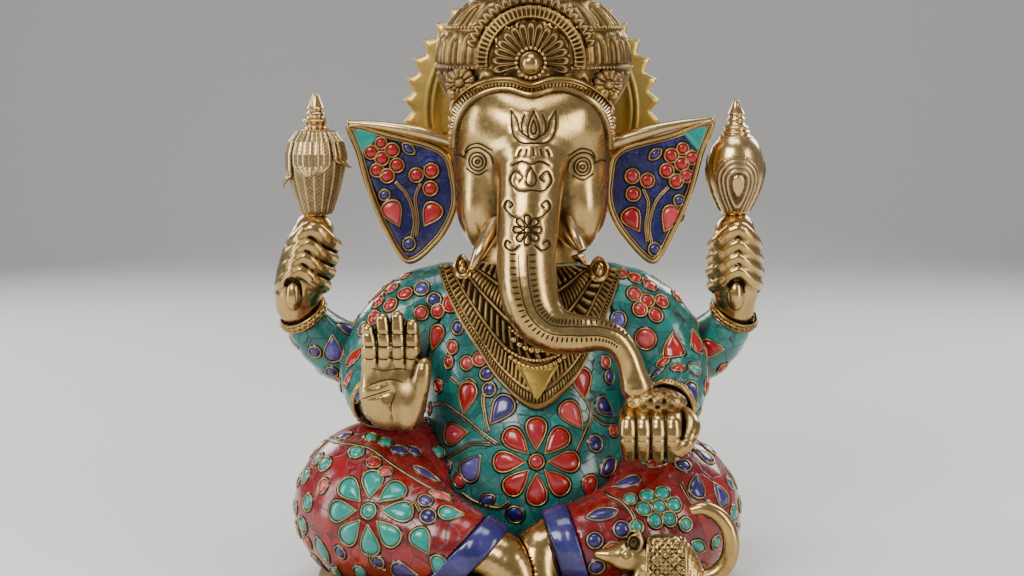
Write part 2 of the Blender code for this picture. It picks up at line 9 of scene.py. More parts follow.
# %% Load the frame
import math
import bpy
import numpy as np
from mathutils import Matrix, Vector


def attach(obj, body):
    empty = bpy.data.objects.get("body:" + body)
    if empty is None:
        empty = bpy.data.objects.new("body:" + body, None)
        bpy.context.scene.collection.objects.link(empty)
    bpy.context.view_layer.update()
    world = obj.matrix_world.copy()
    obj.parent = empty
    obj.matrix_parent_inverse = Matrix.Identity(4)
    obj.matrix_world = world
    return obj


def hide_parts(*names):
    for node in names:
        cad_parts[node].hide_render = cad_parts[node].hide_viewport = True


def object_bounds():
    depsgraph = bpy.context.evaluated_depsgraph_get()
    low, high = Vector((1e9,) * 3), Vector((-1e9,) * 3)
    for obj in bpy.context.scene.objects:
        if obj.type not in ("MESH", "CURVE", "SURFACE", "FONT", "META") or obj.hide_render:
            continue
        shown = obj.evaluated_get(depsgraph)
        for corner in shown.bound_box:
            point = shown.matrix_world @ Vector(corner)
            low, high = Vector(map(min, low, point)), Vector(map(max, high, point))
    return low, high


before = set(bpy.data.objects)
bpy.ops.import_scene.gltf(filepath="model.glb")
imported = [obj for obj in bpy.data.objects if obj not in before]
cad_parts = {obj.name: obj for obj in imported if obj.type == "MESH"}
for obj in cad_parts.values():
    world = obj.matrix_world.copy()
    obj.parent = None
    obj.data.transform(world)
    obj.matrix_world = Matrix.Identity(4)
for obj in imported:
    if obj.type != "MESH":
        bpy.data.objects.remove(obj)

MM = 0.001
FINE = 1.0      # how coarse the sculpted surfaces are
cad_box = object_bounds()
FRONT_MOST, BACK_MOST = cad_box[0][1] * 1000, cad_box[1][1] * 1000   # limits of depth, mm
print("frame box in mm:", [[round(v * 1000, 1) for v in corner] for corner in cad_box])


def hold(value):
    """The value kept between 0 and 1."""
    return np.clip(value, 0, 1)


def crest(gap, width):
    """A bell over a gap: 1 where the gap is 0, fading to nothing past a width or two."""
    return np.exp(-(gap / width) ** 2)


# %% [markdown]
# Every new piece ends as one mesh at the origin that rides on the statue's single body.  A
# helper fills a mesh from whole arrays, turns it outward if its signed volume came out
# negative, and hides the parts of the frame that it stands for.

# %% Making a piece from arrays
def make(name, points, faces, finish, nodes=(), slot="brass", marks=None, smooth=True):
    """Points in mm and arrays of faces (3 or 4 wide) become one piece of the statue."""
    points = np.asarray(points, float).reshape(-1, 3)
    points[:, 1] = np.clip(points[:, 1], FRONT_MOST, BACK_MOST)
    faces = [np.asarray(f, np.int64) for f in faces if len(f)]
    volume = 0.0
    for f in faces:
        a, b, c = points[f[:, 0]], points[f[:, 1]], points[f[:, 2]]
        volume += np.einsum("ij,ij->", a, np.cross(b, c))
        if f.shape[1] == 4:
            volume += np.einsum("ij,ij->", a, np.cross(c, points[f[:, 3]]))
    if volume < 0:
        faces = [f[:, ::-1] for f in faces]
    mesh = bpy.data.meshes.new(name)
    mesh.vertices.add(len(points))
    mesh.vertices.foreach_set("co", (points * MM).ravel())
    loops = np.concatenate([f.ravel() for f in faces])
    sizes = np.concatenate([np.full(len(f), f.shape[1]) for f in faces])
    mesh.loops.add(len(loops))
    mesh.loops.foreach_set("vertex_index", loops)
    mesh.polygons.add(len(sizes))
    mesh.polygons.foreach_set("loop_start", np.concatenate([[0], np.cumsum(sizes)[:-1]]))
    mesh.update(calc_edges=True)
    mesh.polygons.foreach_set("use_smooth", np.full(len(sizes), smooth))
    for key, value in (marks or {}).items():
        layer = mesh.attributes.new(key, "FLOAT", "POINT")
        layer.data.foreach_set("value", np.broadcast_to(value, len(points)).astype(np.float32))
    mesh.materials.append(finish)
    piece = bpy.data.objects.new(name, mesh)
    bpy.context.scene.collection.objects.link(piece)
    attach(piece, "root")
    if nodes:
        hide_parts(*nodes)
    print("%-26s %6d faces, %7.1f cm3" % (name, len(sizes), abs(volume) / 6000))
    return piece


def grid(rows, cols, wrap_rows=False, wrap_cols=True, start=0):
    """Quads of a rows x cols grid of points, joined round where a direction wraps."""
    i = np.arange(rows if wrap_rows else rows - 1)
    j = np.arange(cols if wrap_cols else cols - 1)
    i, j = [a.ravel() for a in np.meshgrid(i, j, indexing="ij")]
    i2, j2 = (i + 1) % rows, (j + 1) % cols
    return start + np.stack([i * cols + j, i * cols + j2, i2 * cols + j2, i2 * cols + j], 1)


def fan(row, cols, pole, start=0, flip=False):
    """Triangles from the points of one grid row to a pole point."""
    j = np.arange(cols)
    t = np.stack([start + row * cols + j, start + row * cols + (j + 1) % cols,
                  np.full(cols, pole)], 1)
    return t[:, ::-1] if flip else t


def many(one, count, step):
    """The same faces for each of several copies whose points follow one another."""
    return (one[None] + (np.arange(count) * step)[:, None, None]).reshape(-1, one.shape[1])


# %% [markdown]
# Brass, stone and lac are all Principled materials.  What they share is worked out in node
# groups: how metal wears, and darkens in its hollows with patina and painted shade, how cut
# chips lie side by side, and how a polished stone is clouded.  The groups hand over colours, roughness and
# heights only.

# %% Node helpers
def group(name, inputs, outputs):
    """An empty shader group with named sockets."""
    tree = bpy.data.node_groups.new(name, "ShaderNodeTree")
    for kind, key, value in inputs:
        socket = tree.interface.new_socket(key, in_out="INPUT", socket_type="NodeSocket" + kind)
        if value is not None:
            socket.default_value = value
    for kind, key in outputs:
        tree.interface.new_socket(key, in_out="OUTPUT", socket_type="NodeSocket" + kind)
    return tree, tree.nodes.new("NodeGroupInput"), tree.nodes.new("NodeGroupOutput")


def add(tree, kind, sources=None, **settings):
    """A node with its settings, and its sockets set or linked from (node, output) pairs."""
    node = tree.nodes.new("ShaderNode" + kind)
    for key, value in settings.items():
        setattr(node, key, value)
    for key, value in (sources or {}).items():
        socket = node.inputs[key]
        if isinstance(value, bpy.types.NodeSocket):
            tree.links.new(value, socket)
        else:
            socket.default_value = value
    return node


def calc(tree, kind, *values, clamp=False):
    """The result of a Math node on one to three numbers or sockets."""
    return add(tree, "Math", dict(enumerate(values)), operation=kind, use_clamp=clamp).outputs[0]


def ramp(tree, factor, *stops):
    """A colour ramp with (position, colour) stops; a number stands for a grey."""
    node = tree.nodes.new("ShaderNodeValToRGB")
    tree.links.new(factor, node.inputs["Fac"])
    band = node.color_ramp.elements
    while len(band) < len(stops):
        band.new(0.5)
    for element, (place, colour) in zip(band, stops):
        element.position = place
        element.color = (*colour, 1) if isinstance(colour, tuple) else (colour,) * 3 + (1,)
    return node.outputs["Color"]


def blend_colours(tree, kind, factor, one, two):
    """Mix two colours with a blend kind."""
    node = tree.nodes.new("ShaderNodeMix")
    node.data_type, node.blend_type = "RGBA", kind
    for key, value in ((0, factor), (6, one), (7, two)):
        if isinstance(value, bpy.types.NodeSocket):
            tree.links.new(value, node.inputs[key])
        else:
            node.inputs[key].default_value = value
    return node.outputs[2]


def finish_material(name, metallic, coat, tree_group, values, marks=(), bump=0.3):
    """A Principled material fed by a group: its colour, roughness and height."""
    mat = bpy.data.materials.new(name)
    mat.use_nodes = True
    tree = mat.node_tree
    shader = tree.nodes["Principled BSDF"]
    shader.inputs["Metallic"].default_value = metallic
    shader.inputs["Coat Weight"].default_value = coat
    shader.inputs["Coat Roughness"].default_value = 0.08
    node = tree.nodes.new("ShaderNodeGroup")
    node.node_tree = tree_group
    spot = tree.nodes.new("ShaderNodeTexCoord")
    tree.links.new(spot.outputs["Object"], node.inputs["Spot"])
    for key, value in values.items():
        node.inputs[key].default_value = value
    for key in marks:
        mark = add(tree, "Attribute", attribute_name=key)
        tree.links.new(mark.outputs["Fac"], node.inputs[key.capitalize()])
    tree.links.new(node.outputs["Color"], shader.inputs["Base Color"])
    tree.links.new(node.outputs["Roughness"], shader.inputs["Roughness"])
    lift = add(tree, "Bump", {"Strength": bump, "Distance": 0.0006})
    tree.links.new(node.outputs["Height"], lift.inputs["Height"])
    tree.links.new(lift.outputs["Normal"], shader.inputs["Normal"])
    return mat


# %% Worn brass
def brass_group():
    """Polished metal with cloudy tarnish, fine scratches and black in the hollows: patina with painted shade.
    """
    t, i, o = group("worn_brass", [("Vector", "Spot", None), ("Color", "Bright", (0.8, 0.6, 0.3, 1)),
                                   ("Color", "Dull", (0.4, 0.27, 0.1, 1)), ("Float", "Tarnish", 0.5),
                                   ("Float", "Patina_and_shade", 0.0), ("Float", "Gloss", 0.2)],
                    [("Color", "Color"), ("Float", "Roughness"), ("Float", "Height")])
    cloud = add(t, "TexNoise", {"Vector": i.outputs["Spot"], "Scale": 42.0, "Detail": 5.0,
                                "Roughness": 0.62})
    speck = add(t, "TexNoise", {"Vector": i.outputs["Spot"], "Scale": 420.0, "Detail": 3.0})
    stretch = add(t, "Mapping", {"Vector": i.outputs["Spot"], "Scale": (900.0, 900.0, 60.0),
                                 "Rotation": (0.3, 0.5, 0.2)})
    scratch = add(t, "TexNoise", {"Vector": stretch.outputs["Vector"], "Scale": 1.0, "Detail": 2.0})
    worn = ramp(t, cloud.outputs["Fac"], (0.38, 0.0), (0.66, 1.0))
    amount = calc(t, "MULTIPLY", worn, i.outputs["Tarnish"])
    base = blend_colours(t, "MIX", amount, i.outputs["Bright"], i.outputs["Dull"])
    grain = ramp(t, speck.outputs["Fac"], (0.3, 0.82), (0.7, 1.0))
    base = blend_colours(t, "MULTIPLY", 1.0, base, grain)
    ragged = calc(t, "SUBTRACT", speck.outputs["Fac"], 0.5)
    # painted shade with patina: the mark darkens the brass towards black in its hollows
    ragged = calc(t, "MULTIPLY_ADD", ragged, 0.5, i.outputs["Patina_and_shade"], clamp=True)
    dark = ramp(t, ragged, (0.12, 0.0), (0.85, 1.0))
    colour = blend_colours(t, "MIX", dark, base, (0.018, 0.012, 0.006, 1))
    t.links.new(colour, o.inputs["Color"])
    rough = calc(t, "MULTIPLY_ADD", amount, 0.16, i.outputs["Gloss"])
    rough = calc(t, "MULTIPLY_ADD", ragged, 0.4, rough, clamp=True)
    t.links.new(rough, o.inputs["Roughness"])
    height = calc(t, "MULTIPLY_ADD", scratch.outputs["Fac"], 0.25, cloud.outputs["Fac"])
    t.links.new(height, o.inputs["Height"])
    return t


WORN = brass_group()


def brass_finish(name, bright, dull, tarnish, gloss, bump, marks=("patina_and_shade",), patina_and_shade=0.0):
    """A brass of the worn kind; without a mark its patina and painted shade are the same all over."""
    values = {"Bright": (*bright, 1), "Dull": (*dull, 1), "Tarnish": tarnish, "Gloss": gloss,
              "Patina_and_shade": patina_and_shade}
    return finish_material(name, 1.0, 0.0, WORN, values, marks, bump)


brass = brass_finish("polished_brass", (0.67, 0.445, 0.17), (0.29, 0.175, 0.055), 0.55, 0.17, 0.25)
old_brass = brass_finish("darkened_brass", (0.52, 0.33, 0.115), (0.15, 0.085, 0.028), 0.8, 0.26, 0.4)
leaf_brass = brass_finish("yellow_brass", (0.66, 0.45, 0.12), (0.38, 0.25, 0.06), 0.5, 0.30, 0.3)
pale_brass = brass_finish("pale_brass", (0.74, 0.52, 0.25), (0.40, 0.26, 0.11), 0.45, 0.18, 0.2)
wire = brass_finish("brass_wire", (0.54, 0.36, 0.15), (0.24, 0.15, 0.06), 0.6, 0.30, 0.3, ())
print("brass finishes:", len(bpy.data.materials))


# %% Chips of stone laid side by side
def chips_group():
    """Cells of a 3-D Voronoi pattern take their own shade; the gaps hold dark lac."""
    t, i, o = group("stone_chips", [("Vector", "Spot", None), ("Color", "First", (0, 0.4, 0.4, 1)),
                                    ("Color", "Second", (0, 0.3, 0.3, 1)),
                                    ("Color", "Vein", (0.4, 0.5, 0.5, 1)), ("Float", "Size", 110.0),
                                    ("Float", "Gap", 0.03), ("Float", "Odd", 0.2), ("Float", "Seam", 0.0)],
                    [("Color", "Color"), ("Float", "Roughness"), ("Float", "Height")])
    wobble = add(t, "TexNoise", {"Vector": i.outputs["Spot"], "Scale": 60.0, "Detail": 2.0})
    moved = add(t, "VectorMath", {0: wobble.outputs["Color"], 1: (0.006,) * 3,
                                  2: i.outputs["Spot"]}, operation="MULTIPLY_ADD")
    cell = add(t, "TexVoronoi", {"Vector": moved.outputs[0], "Scale": i.outputs["Size"]})
    edge = add(t, "TexVoronoi", {"Vector": moved.outputs[0], "Scale": i.outputs["Size"]},
               feature="DISTANCE_TO_EDGE")
    parts = add(t, "SeparateColor", {"Color": cell.outputs["Color"]})
    shade = blend_colours(t, "MIX", parts.outputs["Red"], i.outputs["First"], i.outputs["Second"])
    odd = calc(t, "LESS_THAN", parts.outputs["Green"], i.outputs["Odd"])
    clouds = add(t, "TexNoise", {"Vector": i.outputs["Spot"], "Scale": 190.0, "Detail": 4.0,
                                 "Distortion": 1.2})
    veins = ramp(t, clouds.outputs["Fac"], (0.46, 0.0), (0.72, 1.0))
    some = calc(t, "MULTIPLY_ADD", odd, 0.55, 0.16)
    some = calc(t, "MULTIPLY", some, veins)
    shade = blend_colours(t, "MIX", some, shade, i.outputs["Vein"])
    dim = ramp(t, parts.outputs["Blue"], (0.0, 0.66), (1.0, 1.0))
    shade = blend_colours(t, "MULTIPLY", 1.0, shade, dim)
    wide = calc(t, "MULTIPLY", clouds.outputs["Fac"], i.outputs["Gap"])
    wide = calc(t, "MULTIPLY", wide, 2.0)
    gap = add(t, "MapRange", {"Value": edge.outputs["Distance"], "From Min": 0.0,
                              "From Max": wide, "To Min": 1.0, "To Max": 0.0},
              interpolation_type="SMOOTHSTEP").outputs[0]
    gap = calc(t, "MAXIMUM", gap, i.outputs["Seam"])
    colour = blend_colours(t, "MIX", gap, shade, (0.012, 0.014, 0.013, 1))
    t.links.new(colour, o.inputs["Color"])
    rough = calc(t, "MULTIPLY_ADD", gap, 0.35, 0.2)
    rough = calc(t, "MULTIPLY_ADD", veins, 0.1, rough)
    t.links.new(rough, o.inputs["Roughness"])
    high = calc(t, "MULTIPLY_ADD", gap, -1.0, parts.outputs["Red"])
    t.links.new(high, o.inputs["Height"])
    return t


CHIPS = chips_group()


def chip_finish(name, first, second, vein, size, gap, odd, bump):
    """Chips in two shades with veins; size is in cells per metre."""
    values = {"First": (*first, 1), "Second": (*second, 1), "Vein": (*vein, 1), "Size": size,
              "Gap": gap, "Odd": odd}
    return finish_material(name, 0.0, 0.35, CHIPS, values, ("seam",), bump)


turquoise_chips = chip_finish("turquoise_chips", (0.008, 0.22, 0.18), (0.005, 0.10, 0.095),
                              (0.09, 0.33, 0.30), 105.0, 0.035, 0.32, 0.35)
coral_chips = chip_finish("coral_chips", (0.31, 0.004, 0.004), (0.19, 0.003, 0.005),
                          (0.52, 0.085, 0.085), 95.0, 0.028, 0.22, 0.3)
lapis_chips = chip_finish("lapis_chips", (0.012, 0.010, 0.13), (0.006, 0.005, 0.06),
                          (0.08, 0.07, 0.32), 90.0, 0.016, 0.25, 0.25)


# %% Polished stones
def stone_group():
    """A clouded stone; the tone mark moves each one from its first to its second colour."""
    t, i, o = group("clouded_stone", [("Vector", "Spot", None), ("Color", "First", (1, 0, 0, 1)),
                                      ("Color", "Second", (1, 0.5, 0.5, 1)),
                                      ("Color", "Deep", (0.2, 0, 0, 1)), ("Float", "Tone", 0.0),
                                      ("Float", "Cloud", 0.5)],
                    [("Color", "Color"), ("Float", "Roughness"), ("Float", "Height")])
    haze = add(t, "TexNoise", {"Vector": i.outputs["Spot"], "Scale": 260.0, "Detail": 4.0,
                               "Distortion": 0.8})
    base = blend_colours(t, "MIX", i.outputs["Tone"], i.outputs["First"], i.outputs["Second"])
    part = ramp(t, haze.outputs["Fac"], (0.42, 0.0), (0.7, 1.0))
    part = calc(t, "MULTIPLY", part, i.outputs["Cloud"])
    base = blend_colours(t, "MIX", part, base, i.outputs["Deep"])
    t.links.new(base, o.inputs["Color"])
    rough = calc(t, "MULTIPLY_ADD", haze.outputs["Fac"], 0.18, 0.12)
    t.links.new(rough, o.inputs["Roughness"])
    t.links.new(haze.outputs["Fac"], o.inputs["Height"])
    return t


STONE = stone_group()


def stone_finish(name, coat, first, second, deep, cloud=0.5, marks=("tone",), bump=0.15):
    """A clouded stone that the tone mark moves from its first colour to its second."""
    values = {"First": (*first, 1), "Second": (*second, 1), "Deep": (*deep, 1), "Cloud": cloud}
    return finish_material(name, 0.0, coat, STONE, values, marks, bump)


coral = stone_finish("coral_stone", 0.5, (0.37, 0.002, 0.003), (0.62, 0.09, 0.10), (0.16, 0.002, 0.003))
lapis = stone_finish("lapis_stone", 0.5, (0.010, 0.009, 0.105), (0.13, 0.11, 0.38),
                     (0.006, 0.006, 0.045), 0.55)
turquoise = stone_finish("turquoise_stone", 0.4, (0.010, 0.27, 0.215), (0.06, 0.35, 0.30),
                         (0.01, 0.14, 0.13))
lac = stone_finish("dark_lac", 0.0, (0.012,) * 3, (0.03,) * 3, (0.006,) * 3, 0.6, (), 0.4)
print("all finishes:", len(bpy.data.materials))

# %% [markdown]
# ## The sculpted forms
# The torso with its shoulders, the crossed legs, the head with its trunk and the hands are
# modelled clay shapes: they flow into each other and fold over, which a grid of two
# parameters can't follow.  Each is written as a distance field instead, a function that is
# negative inside and positive outside, and its zero surface is found for whole arrays at once.

# %% Distance fields
def ball(p, centre, radii):
    """Distance to an ellipsoid, near its surface: k (k - 1) / |q / r^2| with k = |q / r|."""
    q, r = p - np.array(centre, float), np.array(radii, float)
    k = np.linalg.norm(q / r, axis=-1)
    return k * (k - 1.0) / np.maximum(np.linalg.norm(q / (r * r), axis=-1), 1e-9)


def blend(a, b, width):
    """The smaller of two distances, rounded over where they meet within the width."""
    h = np.maximum(width - np.abs(a - b), 0.0) / width
    return np.minimum(a, b) - h * h * width * 0.25


def smooth_path(points, samples):
    """Points on a Catmull-Rom line through the given ones, all their columns."""
    p = np.array(points, float)
    p = np.vstack([2 * p[0] - p[1], p, 2 * p[-1] - p[-2]])
    t = np.linspace(0, len(p) - 3, samples)
    i = np.minimum(t.astype(int), len(p) - 4)
    f = (t - i)[:, None]
    a, b, c, d = p[i], p[i + 1], p[i + 2], p[i + 3]
    return 0.5 * (2 * b + (c - a) * f + (2 * a - 5 * b + 4 * c - d) * f ** 2
                  + (3 * b - a - 3 * c + d) * f ** 3)


def limb(p, points, samples=14):
    """Distance to a limb: the nearest of the tapering stretches between x, y, z, radius points."""
    path = smooth_path(points, samples) if samples else np.array(points, float)
    out = np.full(p.shape[:-1], 1e3)
    for a, b in zip(path[:-1], path[1:]):
        step = b[:3] - a[:3]
        t = hold(((p - a[:3]) @ step) / (step @ step))
        gap = np.linalg.norm(p - a[:3] - t[..., None] * step, axis=-1)
        out = np.minimum(out, gap - (a[3] + t * (b[3] - a[3])))
    return out


def slope(field, p, step=0.4):
    """Unit vectors pointing straight out of a field, from its differences along x, y, z."""
    g = np.stack([field(p + d) - field(p - d) for d in np.eye(3) * step], -1)
    return g / np.maximum(np.linalg.norm(g, axis=-1, keepdims=True), 1e-9)


# %% From a field to a surface
def surface(field, low, high, size, coarse=4):
    """Points and quads of the zero surface: one point in every small cell that it crosses."""
    low = np.array(low, float)
    count = np.ceil((np.array(high, float) - low) / (size * coarse)).astype(int)
    axes = [low[k] + size * coarse * (np.arange(count[k]) + 0.5) for k in range(3)]
    rough = field(np.stack(np.meshgrid(*axes, indexing="ij"), -1).reshape(-1, 3)).reshape(count)
    values = np.repeat(np.repeat(np.repeat(rough, coarse, 0), coarse, 1), coarse, 2)
    values = np.pad(values, ((0, 1), (0, 1), (0, 1)), mode="edge").astype(np.float32)
    near = np.argwhere(np.abs(rough) < size * coarse * 1.9)
    inner = np.stack(np.meshgrid(*[np.arange(coarse + 1)] * 3, indexing="ij"), -1).reshape(-1, 3)
    for s in range(0, len(near), 20000):
        g = (near[s:s + 20000, None, :] * coarse + inner[None]).reshape(-1, 3)
        values[g[:, 0], g[:, 1], g[:, 2]] = field(low + g * size)
    inside = values < 0
    shape = tuple(n - 1 for n in values.shape)
    total, hits = np.zeros(shape + (3,), np.float32), np.zeros(shape, np.float32)
    faces = []
    for axis in range(3):
        first = tuple(slice(0, -1) if k == axis else slice(None) for k in range(3))
        after = tuple(slice(1, None) if k == axis else slice(None) for k in range(3))
        spots = np.argwhere(inside[first] != inside[after])
        a = values[first][tuple(spots.T)]
        b = values[after][tuple(spots.T)]
        at = spots.astype(np.float32)
        at[:, axis] += a / (a - b)
        u, w = [(1, 2), (2, 0), (0, 1)][axis]
        ring = []
        for du, dw in ((-1, -1), (0, -1), (0, 0), (-1, 0)):
            c = spots.copy()
            c[:, u] += du
            c[:, w] += dw
            ok = ((c >= 0) & (c < shape)).all(1)
            np.add.at(total, tuple(c[ok].T), at[ok])
            np.add.at(hits, tuple(c[ok].T), 1)
            ring.append(np.where(ok[:, None], c, -1))
        faces.append((np.stack(ring, 1), a < 0))
    used = hits > 0
    number = np.full(shape, -1)
    number[used] = np.arange(used.sum())
    points = total[used] / hits[used][:, None] * size + low
    quads = []
    for ring, outward in faces:
        ids = np.where((ring >= 0).all(2), number[ring[..., 0], ring[..., 1], ring[..., 2]], -1)
        ids = np.where(outward[:, None], ids, ids[:, ::-1])
        quads.append(ids[(ids >= 0).all(1)])
    return points, [np.concatenate(quads)]


# an occlusion estimate; where it darkens the brass it is painted shade
def hollows(field, p, reach=(0.8, 1.6, 3.0)):
    """How shut in each point is, 0 to 1: how much nearer the form is than it should be
    when a short step is taken straight out."""
    n = slope(field, p)
    shut = sum(hold(1.0 - field(p + n * d) / d) for d in reach) / len(reach)
    return hold(shut * 2.2)


# %% The statue's clay forms
TORSO = [(-8, 5, 2, 40, 32), (2, 5, 0, 49, 42), (20, 5, -6, 57, 53), (42, 5, -8, 61, 59),
         (62, 5, -8, 62, 60), (84, 4, -7, 59, 56), (105, 3, -5, 57, 50), (126, 2, -2, 58, 46),
         (144, 2, -2, 55, 43), (158, 2, -2, 46, 36), (169, 3, -3, 34, 28), (178, 3, -4, 27, 24),
         (190, 3, -6, 24, 22), (202, 3, -8, 22, 20)]
ARMS = {
    "front_right": [(-22, -2, 150, 15), (-44, -4, 151, 20), (-67, -8, 137, 22.5), (-82, -15, 116, 19),
                    (-82, -34, 105, 16.5), (-76, -56, 101, 12.5), (-70, -72, 102, 11)],
    "front_left": [(26, -2, 150, 15), (48, -4, 151, 20), (70, -8, 137, 22.5), (82, -16, 116, 19),
                   (82, -36, 103, 16.5), (74, -60, 98, 12.5), (68, -76, 98, 11)],
    "rear_right": [(-24, 16, 134, 13), (-46, 20, 130, 17), (-74, 22, 120, 18.5), (-99, 20, 116, 18),
                   (-117, 13, 130, 14.5), (-124, 6, 144, 11), (-122, 3, 156, 10)],
    "rear_left": [(28, 16, 134, 13), (50, 20, 130, 17), (77, 22, 120, 18.5), (97, 20, 117, 18),
                  (112, 13, 130, 14.5), (118, 6, 144, 11), (117, 3, 156, 10)]}
LEG_R = [(-36, 8, 46, 36), (-60, -16, 45, 41), (-82, -41, 43, 43), (-64, -68, 35, 33),
         (-40, -84, 31, 24), (-22, -92, 28, 18)]
LEG_L = [(42, 8, 44, 36), (62, -16, 42, 39), (78, -38, 38.5, 40), (60, -66, 33, 31),
         (35, -80, 31, 24), (14, -86, 30, 18)]
TRUNK = [(4, -40, 242, 21), (3.5, -52, 227, 18.4), (2, -61, 205, 16.8), (1, -70, 185, 15.7),
         (1.5, -76, 168, 15.4), (5, -80, 154, 14.3), (13, -83, 145.5, 12.6), (25, -84, 142.5, 10.6),
         (38, -84, 142.3, 8.6), (47, -84, 139, 7.4), (53, -84, 131, 6.9), (56, -84, 122, 7.2),
         (58, -84, 115, 8.6)]
HEAD_BALLS = [((4, -10, 236), (43, 42, 42)), ((-13, -28, 250), (22, 24, 22)),
              ((21, -28, 250), (22, 24, 22)), ((-21, -26, 207), (16, 21, 27)),
              ((29, -26, 207), (16, 21, 27))]
CROWN = ((5, -4, 282), (54, 44, 42.5))
FLOWER = (6.4, 71.6)
FLOOR = 3.3
torso_rings = smooth_path(TORSO, 80)


def torso(p):
    """Distance to the stacked ellipses of the trunk of the body."""
    z = np.clip(p[..., 2], TORSO[0][0], TORSO[-1][0])
    cx, cy, rx, ry = [np.interp(z, torso_rings[:, 0], torso_rings[:, k]) for k in (1, 2, 3, 4)]
    qx, qy = p[..., 0] - cx, p[..., 1] - cy
    k = np.hypot(qx / rx, qy / ry)
    f = k * (k - 1) / np.maximum(np.hypot(qx / rx ** 2, qy / ry ** 2), 1e-9)
    return np.maximum(f, np.abs(p[..., 2] - 97) - 105)


def sleeves(p, *names):
    """Distance to the nearest of the named arms."""
    return np.minimum.reduce([limb(p, ARMS[n]) for n in names])


def body(p):
    """Torso and arms pressed together, softly at the shoulders."""
    f = blend(torso(p), sleeves(p, "front_right", "front_left"), 12)
    return blend(f, sleeves(p, "rear_right", "rear_left"), 8)


def leg_right(p):
    """The statue's right leg down to the floor."""
    return np.maximum(limb(p, LEG_R, 18), FLOOR - p[..., 2])


def leg_left(p):
    """The statue's left leg down to the floor."""
    return np.maximum(limb(p, LEG_L, 18), FLOOR - p[..., 2])


def head(p):
    """Skull, brows and cheeks pressed together with the trunk."""
    f = ball(p, *HEAD_BALLS[0])
    for centre, radii in HEAD_BALLS[1:]:
        f = blend(f, ball(p, centre, radii), 14)
    return blend(f, limb(p, TRUNK, 44), 11)


print("limbs:", ", ".join(ARMS))

# %% [markdown]
# ## Torso and sleeves
# The chips of the torso and of each sleeve are laid separately and meet in a crease, which
# fills with dark lac.  Each piece is the shared body form, kept only where
# its own part of the form is the nearest one.

# %% Torso and sleeves
def arm_end(name):
    """Where a sleeve stops: a point on the arm's middle line and the direction onward."""
    path = smooth_path(ARMS[name], 14)
    aim = path[10, :3] - path[9, :3]
    return path[10, :3], aim / np.linalg.norm(aim)


NECK_CUT = 173        # height at which the mosaic ends and the bare neck goes on


def torso_piece(p):
    """The body form where the torso is its nearest part, from the floor to the neck."""
    nearest = sleeves(p, *ARMS)
    f = np.maximum(body(p), torso(p) - nearest + 0.15)
    return np.maximum(np.maximum(f, FLOOR - p[..., 2]), p[..., 2] - NECK_CUT)


def sleeve_piece(name):
    """The body form where one arm is its nearest part, up to the sleeve's end."""
    spot, aim = arm_end(name)
    rest = [n for n in ARMS if n != name]

    def field(p):
        """The sleeve's own field."""
        own = sleeves(p, name)
        f = np.maximum(body(p), own - np.minimum(torso(p), sleeves(p, *rest)) + 0.15)
        return np.maximum(f, (p - spot) @ aim)
    return field


def sculpt(name, field, low, high, size, finish, nodes=(), slot="brass", extra=None, depth=1.0):
    """A field's zero surface as a piece, with the darkening of its hollows, painted shade together with
    patina, as a mark.
    """
    points, faces = surface(field, low, high, size * FINE)
    # painted shade: the occlusion of each point darkens it, as shade together with patina
    patina_and_shade = hold(hollows(field, points) * depth)
    marks = {"patina_and_shade": patina_and_shade}
    if extra:
        marks.update(extra(points))
    return make(name, points, faces, finish, nodes, slot, marks)


def seam_mark(p):
    """Dark lac where chips run into a crease."""
    return {"seam": hold(hollows(body, p) * 1.4 - 0.35)}


sculpt("torso_chips", torso_piece, (-66, -74, 0), (74, 58, 178), 1.5, turquoise_chips,
       ("torso_mosaic",), "turquoise_mosaic", seam_mark)


def neck(p):
    """The bare casting that rises from the mosaic to the head."""
    f = np.maximum(np.maximum(torso(p) + 1.0, NECK_CUT - 2 - p[..., 2]), p[..., 2] - 201)
    return np.maximum(f, 0.4 - head(p))


sculpt("neck_cast", neck, (-36, -36, 169), (40, 32, 204), 1.1, old_brass, ("torso_casting",))
SLEEVE_BOX = {"front_right": ((-108, -66, 80), (-20, 24, 176)), "front_left": ((24, -70, 78), (108, 24, 176)),
              "rear_right": ((-142, -16, 92), (-30, 46, 158)), "rear_left": ((34, -16, 92), (136, 46, 158))}
for name, corners in SLEEVE_BOX.items():
    sculpt("sleeve_chips_" + name, sleeve_piece(name), *corners, 1.3, turquoise_chips,
           ("sleeve_" + name, "arm_" + name), "turquoise_mosaic", seam_mark)

# %% [markdown]
# ## Crossed legs
# Each leg is one long bent form that ends at its ankle cuff, which is a separate ring.

